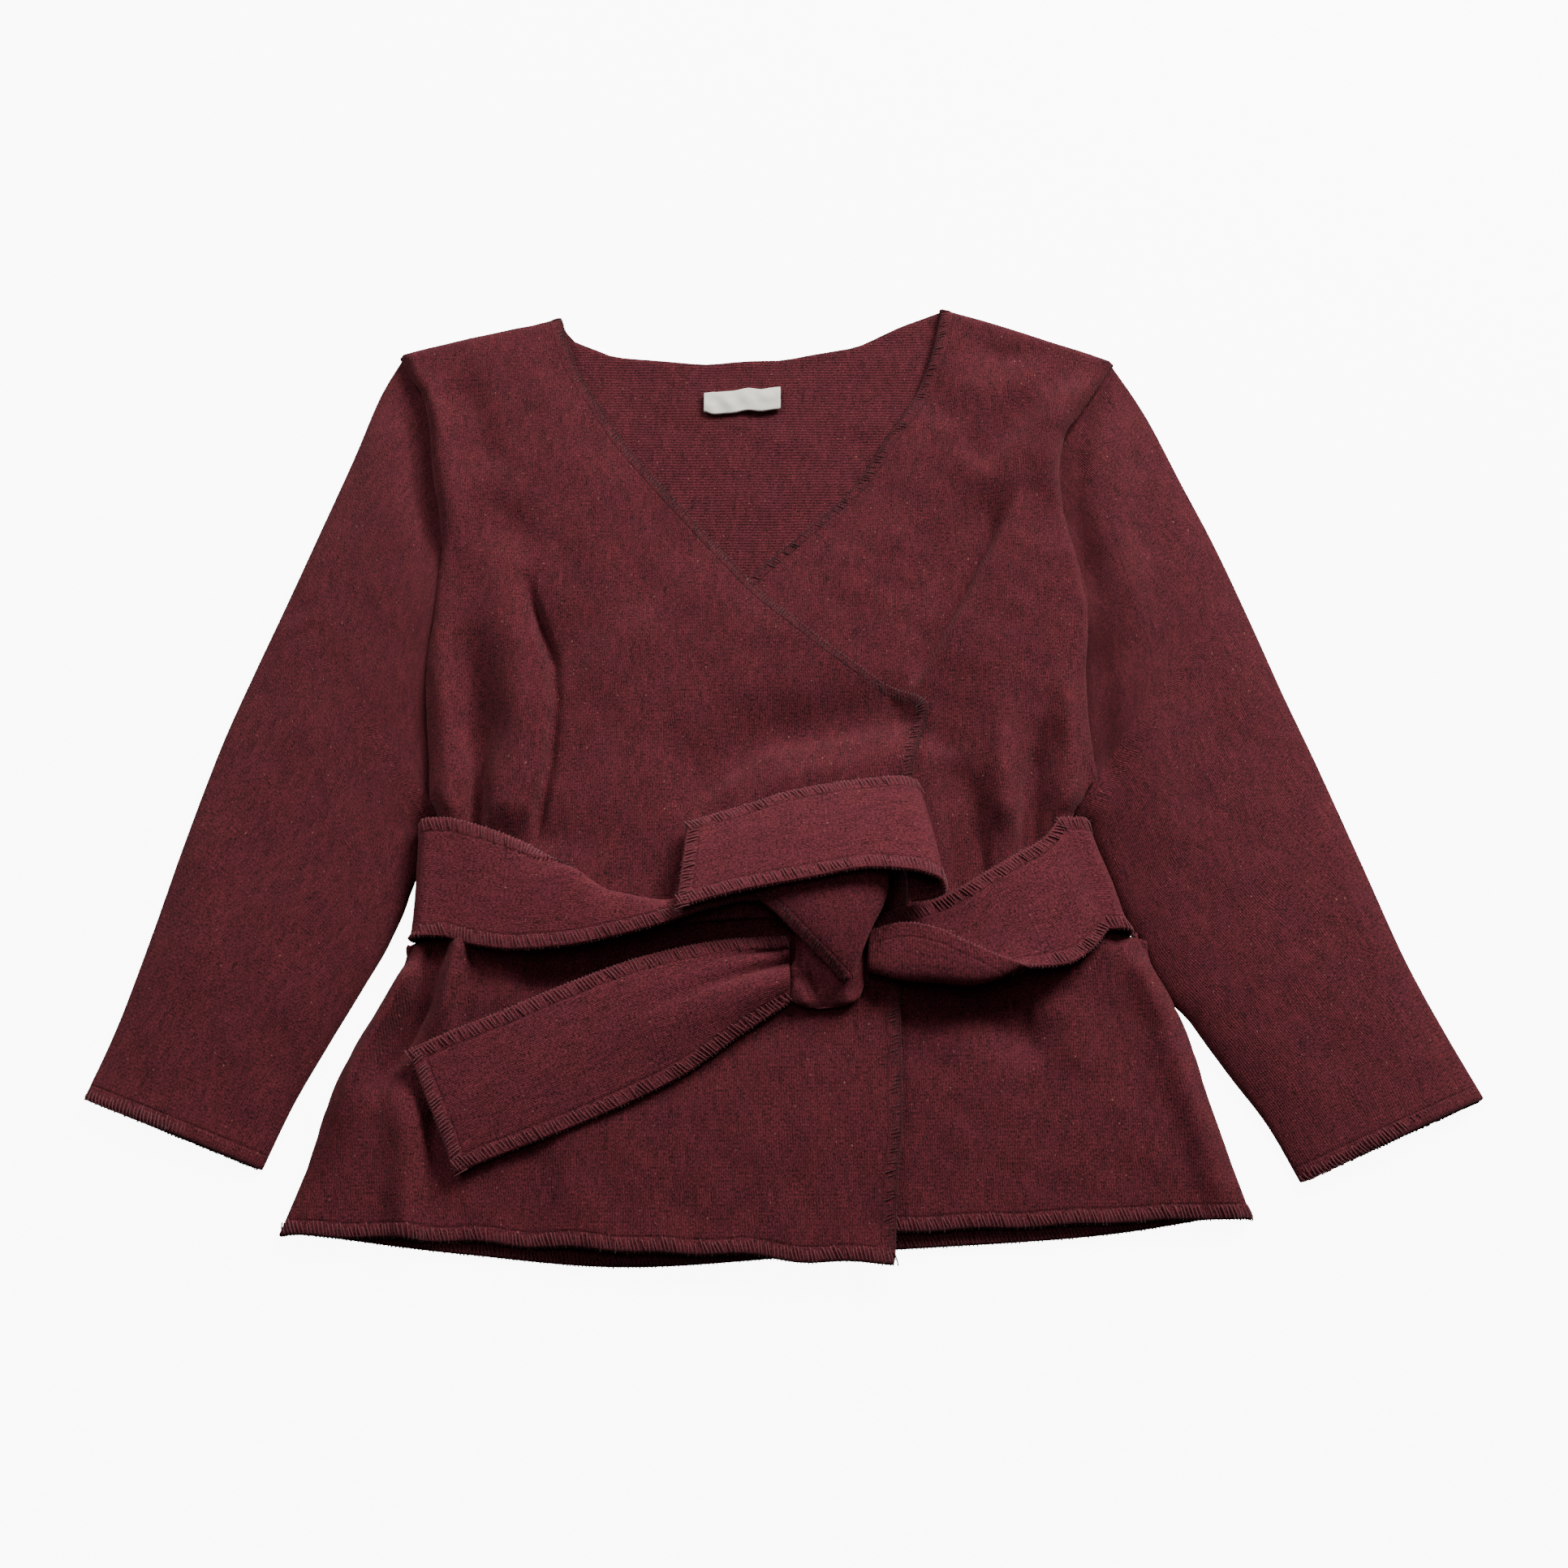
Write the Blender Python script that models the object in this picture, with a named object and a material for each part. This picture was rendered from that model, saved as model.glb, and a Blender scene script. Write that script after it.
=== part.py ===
"""Baby wrap cardigan in soft knit with a tied belt, laid flat with its fronts up.

+X runs to the wearer's left, +Y towards the neck and +Z up from the surface it lies on.
The origin is on that surface, under the middle of the outline. Tables are in millimetres
and the meshes in metres. Every piece is a wall of cloth, open where the garment is open.
"""

import math

import bmesh
import bpy
import numpy as np

MM = 0.001
CLOTH = 1.7  # thickness of the knit
LABEL = 1.0  # thickness of the woven neck label
GAP = 0.45  # air between pieces that meet at a seam or lie on each other
LAYER_GAP = 0.9  # air between the two overlapping fronts
ROLL = 8.0  # how far in from a side seam the front has risen to its full height
HEM_EASE = 42.0  # how far above the hem the fronts have risen to their full height
NECK_EASE = 26.0  # how far from the open neck they have risen to their full height
STEP_EASE = 24.0  # run of the slope where one front climbs over the other's hidden edge
SEAM_INSET = 0.6  # how far inside the fronts' side seams the back panel ends
CLIFF_RUN = 2.2  # half the run over which a pleat's edge rises

SLEEVE_HIGH = 6.6  # a flat sleeve's height in the middle
CUFF_HIGH = 4.9  # and at its cuff
ARMHOLE_DROP = 1.2  # how much lower it is again at the armhole
FOLD_HALF = 2.0  # height of the middle of its side folds
SLEEVE_INSET = 3.4  # from a side fold to the sleeve's inside
SLEEVE_GAP = 1.1  # from the armhole to the body

# Points across each kind of piece.
BACK_ACROSS = 15
UNDER_ACROSS = 17
OVER_ACROSS = 19
SLEEVE_ACROSS = 11
BELT_ACROSS = 12
TAIL_ACROSS = 7
KNOT_AROUND = 14

# The stretch of belt behind the waist, which the back panel rides over.
BELT_LOW = -68.5
BELT_HIGH = -28.5
BELT_RAMP = 8.0
BEND_WEIGHT = 2.5  # length that one radian of bend counts for when points are shared out
BELT_REACH_LEFT = 4.4  # how far it stands out from the side seams as it turns round them
BELT_REACH_RIGHT = 3.4

WINE = (0.125, 0.030, 0.036, 1.0)
WINE_BELT = (0.145, 0.035, 0.042, 1.0)
LABEL_WHITE = (0.80, 0.78, 0.74, 1.0)

# Sections of each body panel, from hem to shoulder: the two ends of each section.
#            left_x left_y right_x right_y
OVER_SECTIONS = (
    (-158, -163, 34, -173),
    (-151, -143, 35, -150),
    (-146, -123, 37, -128),
    (-140, -107, 37, -110),
    (-130, -91, 37, -92),
    (-121, -77, 38, -77),
    (-115.5, -69, 39, -69),
    (-115, -50, 40, -50),
    (-115, -28, 41, -28),
    (-118, -20, 42, -20),
    (-119, -8, 43, -8),
    (-121, 10, 48, 11),
    (-122, 27, 32, 21),
    (-121, 42, 16, 33),
    (-120, 57, 1, 46),
    (-119, 72, -13, 60),
    (-121, 87, -26, 76),
    (-124, 102, -41, 94),
    (-126, 119, -56, 113),
    (-129, 132, -67, 131),
    (-135, 142, -75, 145),
    (-139, 151, -82, 168),
)
UNDER_SECTIONS = (
    (-58, -167, 147, -158),
    (-59, -146, 142, -142),
    (-60, -124, 136, -121),
    (-60, -107, 132, -105),
    (-60, -92, 127, -91),
    (-61, -77, 118, -77),
    (-62, -69, 109.5, -69),
    (-63, -50, 103, -50),
    (-65, -28, 96, -28),
    (-66, -20, 100, -20),
    (-68, -8, 104, -6),
    (-72, 9, 103, 10),
    (-57, 22, 103, 26),
    (-40, 36, 104.5, 41),
    (-22, 51, 104.8, 49),
    (-6, 67, 102, 68),
    (10, 82, 98, 86),
    (25, 97, 97, 101),
    (36, 115, 99, 114),
    (49, 137, 106, 126),
    (55, 156, 114, 139),
    (58, 172, 119, 148),
)
#             x     y
BACK_HEM = ((-156, -162), (-100, -169), (-48, -173), (20, -172), (96, -167), (145, -157))
BACK_TOP = (
    (-138, 150), (-103, 160), (-82, 167), (-77, 158), (-62, 151), (-30, 148),
    (0, 150), (26, 155), (43, 164), (58, 171), (79, 166), (97, 159), (118, 147),
)
NECK_TIPS = (2, 9)  # the points of that table where the neck meets the shoulders

# Sections of each sleeve, from cuff to armhole: the outer fold and the inner fold.
#           outer_x outer_y inner_x inner_y
SLEEVE_LEFT_SECTIONS = (
    (-224, -120, -165, -143),
    (-216, -97, -157, -123),
    (-208, -67, -147, -103),
    (-200, -34, -137, -84),
    (-190, 3, -129, -68),
    (-182, 27, -123.5, -50),
    (-173, 53, -122.6, -28),
    (-163, 83, -122.0, -8),
    (-154, 111, -123.2, 8),
    (-147, 136, -123.6, 22),
    (-141, 151.5, -123.0, 36),
)
SLEEVE_RIGHT_SECTIONS = (
    (224, -120, 163, -147),
    (214, -99, 154, -129),
    (204, -76, 143, -113),
    (192, -41, 132, -96),
    (180, -6, 121.5, -78),
    (171, 19, 115.5, -60),
    (162, 46, 107.0, -36),
    (152, 75, 105.0, -15),
    (142, 101, 105.6, 2),
    (132, 128, 105.2, 20),
    (122, 149.5, 105.8, 40),
)
# Height of the fronts above the layer they lie on, by distance up the garment.
#           y    loft
LOFT = (
    (-175, 1.4), (-125, 2.6), (-80, 3.0), (-48, 2.2), (-15, 3.4),
    (40, 3.8), (100, 3.6), (150, 2.6), (175, 1.8),
)

# Folds of the fronts. A ridge rises by its height, or sinks where that is negative. A
# cliff rises on the right of its line and sinks on the left, as a pleat's edge does.
# Widths are how far it spreads to the left and right of the line, looking along it.
#  kind     height left right fade_in fade_out  line
FOLDS = (
    ("cliff", 2.6, 16, 22, 0.45, 0.1, ((-92, 66), (-84, 48), (-77, 26), (-76, 8), (-80, -30))),
    ("ridge", 3.0, 9, 11, 0.5, 0.0, ((-104, 92), (-96, 58), (-91, 33), (-90, 8), (-94, -32))),
    ("ridge", 3.0, 6, 5, 0.4, 0.0, ((-113, 40), (-109, 10), (-106, -10), (-105, -30))),
    ("ridge", -4.6, 5, 4, 0.7, 0.0, ((-105, 22), (-101, -8), (-99, -30))),
    ("ridge", 2.6, 8, 12, 0.2, 0.3, ((-131, 144), (-121, 120), (-113, 96), (-109, 70))),
    ("ridge", -5.5, 7, 6, 0.0, 0.45, ((-110, -66), (-114, -86), (-120, -105), (-126, -124))),
    ("ridge", 5.0, 6, 10, 0.0, 0.5, ((-99, -62), (-104, -84), (-108, -98), (-111, -116))),
    ("ridge", 3.6, 9, 8, 0.1, 0.5, ((-121, -76), (-129, -94), (-136, -116), (-143, -146))),
    ("ridge", 2.4, 6, 7, 0.4, 0.1, ((-114, -118), (-114, -140), (-112, -168))),
    ("ridge", 2.4, 6, 6, 0.0, 0.6, ((-86, -64), (-88, -84), (-91, -102))),
    ("ridge", -2.2, 10, 8, 0.4, 0.1, ((-34, -28), (-18, -14), (4, -4), (26, 0), (46, 2))),
    ("ridge", 2.6, 6, 8, 0.5, 0.0, ((-20, -26), (4, -15), (26, -11), (44, -8))),
    ("cliff", 1.7, 16, 26, 0.5, 0.15, ((44, 19), (59, 48), (75, 81), (84, 100))),
    ("ridge", -2.6, 7, 8, 0.5, 0.0, ((56, 6), (59, -12), (66, -44))),
    ("ridge", 2.6, 8, 7, 0.5, 0.0, ((75, 24), (74, -8), (73, -42))),
    ("ridge", -2.6, 5, 5, 0.5, 0.0, ((86, 6), (84, -14), (80, -42))),
    ("ridge", 2.6, 6, 6, 0.5, 0.0, ((92, 24), (97, -6), (94, -34))),
    ("ridge", -1.8, 10, 8, 0.4, 0.3, ((57, 141), (76, 131), (92, 136), (106, 146))),
    ("ridge", 2.4, 10, 9, 0.2, 0.4, ((110, 142), (97, 126), (89, 106), (91, 82))),
    ("ridge", -2.2, 7, 8, 0.0, 0.5, ((66, -74), (72, -92), (84, -112))),
    ("ridge", 1.8, 9, 7, 0.3, 0.3, ((52, -74), (58, -100), (64, -130))),
    ("ridge", 2.2, 8, 7, 0.1, 0.2, ((112, -72), (121, -94), (130, -128), (137, -160))),
)

# The belt's stretches. Each station gives the hem-side edge, the two points that the
# cloth is drawn towards on its way across, and the neck-side edge.
#    hem x, y, z          first x, y, z        second x, y, z       neck x, y, z
BELT_LEFT = (
    (-110, -69, 11.2,     -110, -56, 11.4,     -110, -42, 11.7,     -110, -29.5, 12.2),
    (-99, -72.5, 13.2,    -98, -60, 13.6,      -97, -45, 13.4,      -97, -33.5, 12.8),
    (-85, -74.5, 15.6,    -84, -60, 16.2,      -84, -45, 15.0,      -84, -39, 12.6),
    (-71, -74, 17.6,      -70, -56, 18.2,      -70, -45.5, 16.0,    -71, -48, 12.4),
    (-56, -71.5, 19.2,    -55, -57, 20.0,      -55, -56, 13.0,      -55, -63, 12.2),
    (-40, -67.5, 20.2,    -39, -60, 21.0,      -39, -59, 13.2,      -40, -65, 12.4),
    (-26, -62.5, 20.2,    -26, -56, 20.4,      -26, -57, 13.4,      -26, -64, 12.6),
    (-11, -59, 19.2,      -11, -52, 19.8,      -11, -54, 13.2,      -11, -63, 12.8),
    (0, -59.5, 18.6,      0, -53, 19.4,        0, -54, 13.2,        0, -63, 13.0),
)
BELT_RIGHT = (
    (105, -66.5, 11.2,    100, -54, 11.4,      95.5, -41, 11.4,     91, -29, 11.4),
    (99, -74, 13.2,       95, -61, 13.8,       90.5, -48, 13.4,     86, -36, 12.4),
    (90, -79.5, 15.2,     85, -68, 15.4,       80, -54, 14.6,       76, -42.5, 13.0),
    (80, -81, 17.8,       77, -80, 16.4,       71, -64, 14.0,       66, -48.5, 13.2),
    (70, -79, 19.8,       70, -86, 19.2,       66, -81, 13.8,       58, -53.5, 13.2),
    (59, -74.5, 21.0,     60, -87.5, 20.6,     57, -85, 13.4,       50, -57.5, 13.2),
    (48, -69.5, 21.2,     49, -86, 20.6,       48, -85, 13.4,       42, -60, 13.4),
    (38, -67.5, 19.6,     38, -85, 19.2,       38, -84, 13.4,       35, -62, 13.6),
    (30.2, -69.5, 17.2,   29.3, -83, 18.0,     29.3, -82, 13.0,     29.8, -65, 13.4),
)
TAIL_LONG = (
    (1.5, -91.5, 12.8,    1.5, -86, 14.6,      1.5, -77, 14.8,      1.5, -70.5, 13.4),
    (-15, -102.5, 12.2,   -15.5, -92, 15.8,    -16.5, -81, 16.2,    -17, -71.5, 13.6),
    (-32, -114.5, 11.6,   -36, -101, 15.2,     -40, -89, 15.8,      -44, -77, 14.0),
    (-54, -125.5, 11.0,   -59, -112, 13.4,     -64, -99, 14.0,      -69, -86, 13.4),
    (-76, -134.5, 10.2,   -81, -121, 12.6,     -86, -108, 13.0,     -90, -95, 13.2),
    (-92, -140.5, 9.4,    -97, -127, 12.0,     -101, -114, 12.4,    -105, -101, 13.2),
    (-103, -145, 8.8,     -108, -132, 11.4,    -114, -119, 12.0,    -119, -107, 12.6),
)
TAIL_SHORT = (
    (-34, -63, 24.0,      -33, -53, 21.6,      -32, -42, 19.4,      -31, -32, 15.6),
    (-14, -58, 25.6,      -14, -48, 23.0,      -14, -37, 20.4,      -14, -27, 16.4),
    (8, -54.5, 28.0,      7.5, -43, 25.4,      7, -32, 22.0,        6, -21, 17.0),
    (28, -51.5, 29.6,     27.5, -40, 26.2,     27, -29, 22.6,       26, -18, 17.6),
    (42, -52.5, 29.4,     40.5, -40, 26.0,     39, -28, 22.6,       37, -17, 17.8),
    (50, -55, 27.4,       48, -42, 24.0,       45.5, -29.5, 20.4,   43, -18, 16.8),
    (51.3, -57.5, 24.2,   49.3, -45, 21.0,     47, -32, 17.8,       44, -20, 15.0),
    (47.5, -59, 21.4,     45.5, -46, 18.4,     43.5, -34, 16.0,     42, -22, 13.8),
    (41, -60, 21.0,       40, -47, 18.0,       39, -35, 15.6,       38, -23, 13.7),
)
KNOT_FLAP = (
    (-7.5, -50, 22.2,     5, -49, 24.8,        38, -48, 24.8,       28, -48, 19.0),
    (-8.6, -57.5, 21.4,   5, -55.5, 24.6,      40, -54.5, 25.2,     28, -55.5, 18.2),
    (-2, -64.2, 21.0,     7, -63, 24.4,        37.5, -61.5, 24.8,   26.5, -61.5, 18.2),
    (5, -71.2, 20.2,      11, -70.5, 23.6,     31.5, -69, 23.6,     24.5, -69, 18.4),
    (12.6, -78.6, 19.2,   15.5, -78.3, 21.8,   26, -77.4, 21.8,     22.5, -77.6, 18.4),
    (18.8, -85, 18.2,     19.6, -85.2, 19.2,   21, -85.2, 19.2,     21.6, -84.8, 18.2),
)
# Sections of the knot's wrapped body, from its neck side to its hem side.
#    y    left right  low  high
KNOT = (
    (-63, 5, 23, 13.6, 15.8),
    (-66.5, 4.4, 25, 12.4, 16.6),
    (-71, 3.8, 25.6, 11.6, 17.0),
    (-77, 3.8, 25.6, 11.0, 17.0),
    (-80.5, 2.2, 25.6, 10.8, 16.8),
    (-85, 1.9, 25.6, 10.8, 16.2),
    (-89.3, 2.1, 24.6, 10.8, 15.4),
    (-91.9, 3.4, 22, 11.0, 14.6),
    (-93.2, 6.5, 17, 12.0, 13.6),
)

#            x    y
NECK_LABEL = ((-28.5, 137.5), (-1, 139.5))
LABEL_HEIGHT = 8.5


def monotone(values, count):
    """Reads a column of a table smoothly at count even places, with no overshoot."""
    values = np.asarray(values, float)
    rise = np.diff(values)
    slope = np.zeros(len(values))
    slope[0], slope[-1] = rise[0], rise[-1]
    same_way = rise[:-1] * rise[1:] > 0
    total = np.where(same_way, rise[:-1] + rise[1:], 1.0)
    slope[1:-1] = np.where(same_way, 2 * rise[:-1] * rise[1:] / total, 0.0)
    place = np.linspace(0, len(values) - 1, count)
    cell = np.minimum(place.astype(int), len(values) - 2)
    t = place - cell
    start, end = values[cell], values[cell + 1]
    return (
        start * (1 + 2 * t) * (1 - t) ** 2
        + slope[cell] * t * (1 - t) ** 2
        + end * t * t * (3 - 2 * t)
        + slope[cell + 1] * t * t * (t - 1)
    )


def read_table(table, count):
    """Every column of a table, read smoothly at count places along its rows."""
    return np.stack([monotone(column, count) for column in zip(*table)], axis=1)


def smooth_step(value, low, high):
    """0 below low, 1 above high and a smooth rise between them."""
    t = np.clip((value - low) / (high - low), 0, 1)
    return t * t * (3 - 2 * t)


def from_line(x, y, line):
    """Distance of each point to a line of points, positive on its right, and how far along."""
    line = np.asarray(line, float)
    lengths = np.hypot(*np.diff(line, axis=0).T)
    before = np.concatenate([[0], np.cumsum(lengths)])
    nearest = np.full(np.shape(x), np.inf)
    side = np.ones(np.shape(x))
    along = np.zeros(np.shape(x))
    for (x0, y0), (x1, y1), length, start in zip(line, line[1:], lengths, before):
        ux, uy = (x1 - x0) / length, (y1 - y0) / length
        t = np.clip((x - x0) * ux + (y - y0) * uy, 0, length)
        dx, dy = x - x0 - t * ux, y - y0 - t * uy
        distance = np.hypot(dx, dy)
        closer = distance < nearest
        nearest = np.where(closer, distance, nearest)
        side = np.where(closer, np.sign(dx * uy - dy * ux), side)
        along = np.where(closer, (start + t) / before[-1], along)
    return nearest * np.where(side == 0, 1, side), along


def fold_height(x, y, kind, height, left, right, fade_in, fade_out, line):
    """What one fold adds to the height of the fronts."""
    distance, along = from_line(x, y, line)
    spread = np.where(distance < 0, left, right)
    run_in = smooth_step(along, -0.001, fade_in) if fade_in else 1.0
    run_out = smooth_step(1 - along, -0.001, fade_out) if fade_out else 1.0
    if kind == "cliff":
        shape = np.tanh(distance / CLIFF_RUN) * np.exp(-np.abs(distance) / spread)
    else:
        shape = np.exp(-((distance / spread) ** 2))
    return height * run_in * run_out * shape


def belt_channel(y):
    """How far the back panel is lifted by the belt that passes under it."""
    up = np.clip((y - (BELT_LOW - 0.5 - BELT_RAMP)) / BELT_RAMP, 0, 1)
    down = np.clip((BELT_HIGH + 0.5 + BELT_RAMP - y) / BELT_RAMP, 0, 1)
    return (CLOTH + GAP) * up * down


def front_floor(y):
    """The lowest that a front may lie: a gap above the back panel."""
    return belt_channel(y) + CLOTH + GAP


def column(table, first, second):
    """Two columns of a table as a line of points."""
    return [(row[first], row[second]) for row in table]


SEAM_LINE_LEFT = column(OVER_SECTIONS, 0, 1)
SEAM_LINE_RIGHT = column(UNDER_SECTIONS, 2, 3)
SHOULDER_LEFT = (OVER_SECTIONS[-1][:2], OVER_SECTIONS[-1][2:])
SHOULDER_RIGHT = (UNDER_SECTIONS[-1][:2], UNDER_SECTIONS[-1][2:])
UNDER_FREE_EDGE = column(UNDER_SECTIONS, 0, 1)
OPEN_NECK = ((-82, 168), (-40, 93), (-8, 62), (25, 97), (58, 172))


def inside_neck(x, y):
    """Whether points lie in the open V between the two necklines."""
    left = np.interp(y, [62, 93, 168], [-8, -40, -82])
    right = np.interp(y, [62, 97, 172], [-8, 25, 58])
    return (y > 62) & (x > left) & (x < right)


def loft(x, y):
    """How far the fronts stand above what they lie on, folds and all."""
    base = np.interp(y, *zip(*LOFT))
    neck, _ = from_line(x, y, OPEN_NECK)
    neck = np.where(inside_neck(x, y), 0, np.abs(neck))
    base = base * (0.25 + 0.75 * smooth_step(neck, 0, NECK_EASE))
    base = base * (0.3 + 0.7 * smooth_step(y + 172, 0, HEM_EASE))
    pressed = smooth_step(y, -74, -64) * (1 - smooth_step(y, -36, -24))
    folds = sum(fold_height(x, y, *fold) for fold in FOLDS)
    base = base + folds * (1 - 0.9 * pressed)
    return 0.5 * (base + np.sqrt(base * base + 0.3))


def edge_roll(x, y, lines):
    """0 at a seamed edge, rising as a quarter round to 1 inside the panel."""
    nearest = np.min([np.abs(from_line(x, y, line)[0]) for line in lines], axis=0)
    share = np.clip(nearest / ROLL, 0, 1)
    return np.sqrt(np.clip(1 - (1 - share) ** 2, 0, 1))


def over_step(x, y):
    """1 where the lower front lies under the upper one, falling to 0 past its free edge."""
    distance, _ = from_line(x, y, UNDER_FREE_EDGE)
    return smooth_step(distance, -STEP_EASE, -5.0)


def front_top(x, y, upper):
    """Height of a front's outer face at points of its plan."""
    seams = (SEAM_LINE_LEFT, SHOULDER_LEFT) if upper else (SEAM_LINE_RIGHT, SHOULDER_RIGHT)
    rise = loft(x, y)
    if upper:
        rise = rise + over_step(x, y) * (CLOTH + LAYER_GAP)
    return front_floor(y) + CLOTH + rise * edge_roll(x, y, seams)


def crowded(count):
    """Shares from 0 to 1, closer together at both ends."""
    even = np.linspace(0, 1, count)
    return 0.45 * even + 0.55 * (0.5 - 0.5 * np.cos(math.pi * even))


def panel_plan(sections, across, steps):
    """The plan of a panel as a grid of points, rows from hem to shoulder."""
    ends = read_table(sections, (len(sections) - 1) * steps + 1)
    share = crowded(across)[None, :]
    x = ends[:, 0:1] * (1 - share) + ends[:, 2:3] * share
    y = ends[:, 1:2] * (1 - share) + ends[:, 3:4] * share
    return x, y


def unit(vectors):
    """Vectors of length 1."""
    return vectors / np.maximum(np.linalg.norm(vectors, axis=-1, keepdims=True), 1e-9)


def normals_of(grid):
    """The normal at each point of a grid of points."""
    return unit(np.cross(np.gradient(grid, axis=1), np.gradient(grid, axis=0)))


def wall_mesh(name, outer, inner):
    """A closed wall between two grids of points, the outer one facing along its normals."""
    rows, columns = outer.shape[:2]
    points = np.concatenate([outer.reshape(-1, 3), inner.reshape(-1, 3)])
    offset = rows * columns

    def at(row, column_index, side):
        return side * offset + row * columns + column_index

    faces = []
    for row in range(rows - 1):
        for c in range(columns - 1):
            quad = [at(row, c, 0), at(row, c + 1, 0), at(row + 1, c + 1, 0), at(row + 1, c, 0)]
            faces.append(quad)
            faces.append([index + offset for index in reversed(quad)])
    rim = [(0, c) for c in range(columns)]
    rim += [(row, columns - 1) for row in range(1, rows)]
    rim += [(rows - 1, c) for c in range(columns - 2, -1, -1)]
    rim += [(row, 0) for row in range(rows - 2, 0, -1)]
    for here, there in zip(rim, rim[1:] + rim[:1]):
        faces.append([at(*there, 0), at(*here, 0), at(*here, 1), at(*there, 1)])
    mesh = bpy.data.meshes.new(name)
    mesh.from_pydata((points * MM).tolist(), [], faces)
    return mesh


def material(name, colour, roughness):
    """A plain surface of one colour."""
    made = bpy.data.materials.new(name)
    made.use_nodes = True
    shader = made.node_tree.nodes["Principled BSDF"]
    shader.inputs["Base Color"].default_value = colour
    shader.inputs["Roughness"].default_value = roughness
    return made


def finish(name, mesh, surface):
    """Links a mesh as a named piece, with its faces pointing out and shaded smooth."""
    sheet = bmesh.new()
    sheet.from_mesh(mesh)
    bmesh.ops.recalc_face_normals(sheet, faces=sheet.faces)
    sheet.to_mesh(mesh)
    sheet.free()
    mesh.shade_smooth()
    mesh.set_sharp_from_angle(angle=math.radians(50))
    mesh.materials.append(surface)
    piece = bpy.data.objects.new(name, mesh)
    bpy.context.scene.collection.objects.link(piece)
    return piece


def front_panel(name, sections, across, upper, surface):
    """One front: its outer face follows front_top, and its inner face lies a cloth below."""
    x, y = panel_plan(sections, across, 2)
    outer = np.stack([x, y, front_top(x, y, upper)], axis=-1)
    inner = outer - normals_of(outer) * CLOTH
    inner[..., 2] = np.maximum(inner[..., 2], front_floor(inner[..., 1]))
    return finish(name, wall_mesh(name, outer, inner), surface)


def back_panel(surface):
    """The back: flat on the surface, and over the belt where that passes behind it."""
    left = np.array(SEAM_LINE_LEFT) + (SEAM_INSET, 0)
    right = np.array(SEAM_LINE_RIGHT) - (SEAM_INSET, 0)
    share = crowded(BACK_ACROSS)[None, :, None]
    plan = left[:, None] * (1 - share) + right[:, None] * share
    rise = np.linspace(0, 1, len(plan))[:, None, None]
    plan = plan + (1 - rise) ** 10 * (read_table(BACK_HEM, BACK_ACROSS) - plan[0])
    plan = plan + rise**8 * (neck_curve(BACK_ACROSS) - plan[-1])
    under = np.concatenate([plan, belt_channel(plan[..., 1:])], axis=2)
    over = under + np.array([0, 0, CLOTH])
    return finish("back", wall_mesh("back", over, under), surface)


def neck_curve(count):
    """The back panel's upper edge, read so that it keeps the two tips of the neck."""
    line = np.asarray(BACK_TOP, float)
    length = np.concatenate([[0], np.cumsum(np.hypot(*np.diff(line, axis=0).T))])
    places = crowded(count) * length[-1]
    for tip in NECK_TIPS:
        places[np.argmin(np.abs(places - length[tip]))] = length[tip]
    return np.stack([np.interp(places, length, line[:, axis]) for axis in (0, 1)], axis=1)


def seam_x(seam, y):
    """Where a side seam of the body lies at given heights up the garment."""
    line = read_table(seam, 2 * len(seam) - 1)
    return np.interp(y, line[:, 1], line[:, 0])


def sleeve(name, sections, seam, side, surface):
    """A flat tube of cloth, open at the cuff and at the armhole, which follows the body."""
    rows = (len(sections) - 1) * 2 + 1
    ends = read_table(sections, rows)
    outer_fold, inner_fold = ends[:, :2], ends[:, 2:]
    across = crowded(SLEEVE_ACROSS)
    armhole = outer_fold[-1] + (inner_fold[-1] - outer_fold[-1]) * across[:, None]
    bow = seam_x(seam, armhole[:, 1]) + side * SLEEVE_GAP - armhole[:, 0]
    width = inner_fold - outer_fold
    start = SLEEVE_INSET / crossing(width, outer_fold)
    end = SLEEVE_INSET / crossing(width, inner_fold)
    share = np.tile(across, (rows, 1))
    inside = start[:, None] + (1 - start - end)[:, None] * across
    up = np.linspace(0, 1, rows)[:, None]
    high = CUFF_HIGH + (SLEEVE_HIGH - CUFF_HIGH) * smooth_step(up, 0, 0.25)
    high = high - ARMHOLE_DROP * smooth_step(up, 0.7, 1.0)
    rings = []
    for places, sunk in ((share, 0.0), (inside, CLOTH)):
        plan = outer_fold[:, None] + width[:, None] * places[..., None]
        plan[..., 0] += up**5 * np.interp(places, across, bow)
        dome = np.clip(1 - np.abs(2 * places - 1) ** 2.6, 0, 1) ** 0.5
        top = FOLD_HALF + (high - FOLD_HALF) * dome - sunk
        top = np.maximum(top, sunk + (0.25 if sunk else 0.0))
        over = np.concatenate([plan, top[..., None]], axis=2)
        under = np.concatenate([plan, np.full_like(top, sunk)[..., None]], axis=2)
        rings.append(np.concatenate([over, under[:, -2:0:-1]], axis=1))
    return finish(name, tube_mesh(name, *rings), surface)


def crossing(width, fold):
    """The length over which a sleeve's sections come one unit away from its fold."""
    along = unit(np.gradient(fold, axis=0))
    sine = np.abs(width[:, 0] * along[:, 1] - width[:, 1] * along[:, 0])
    return np.maximum(sine, 0.14 * np.linalg.norm(width, axis=1))


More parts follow.
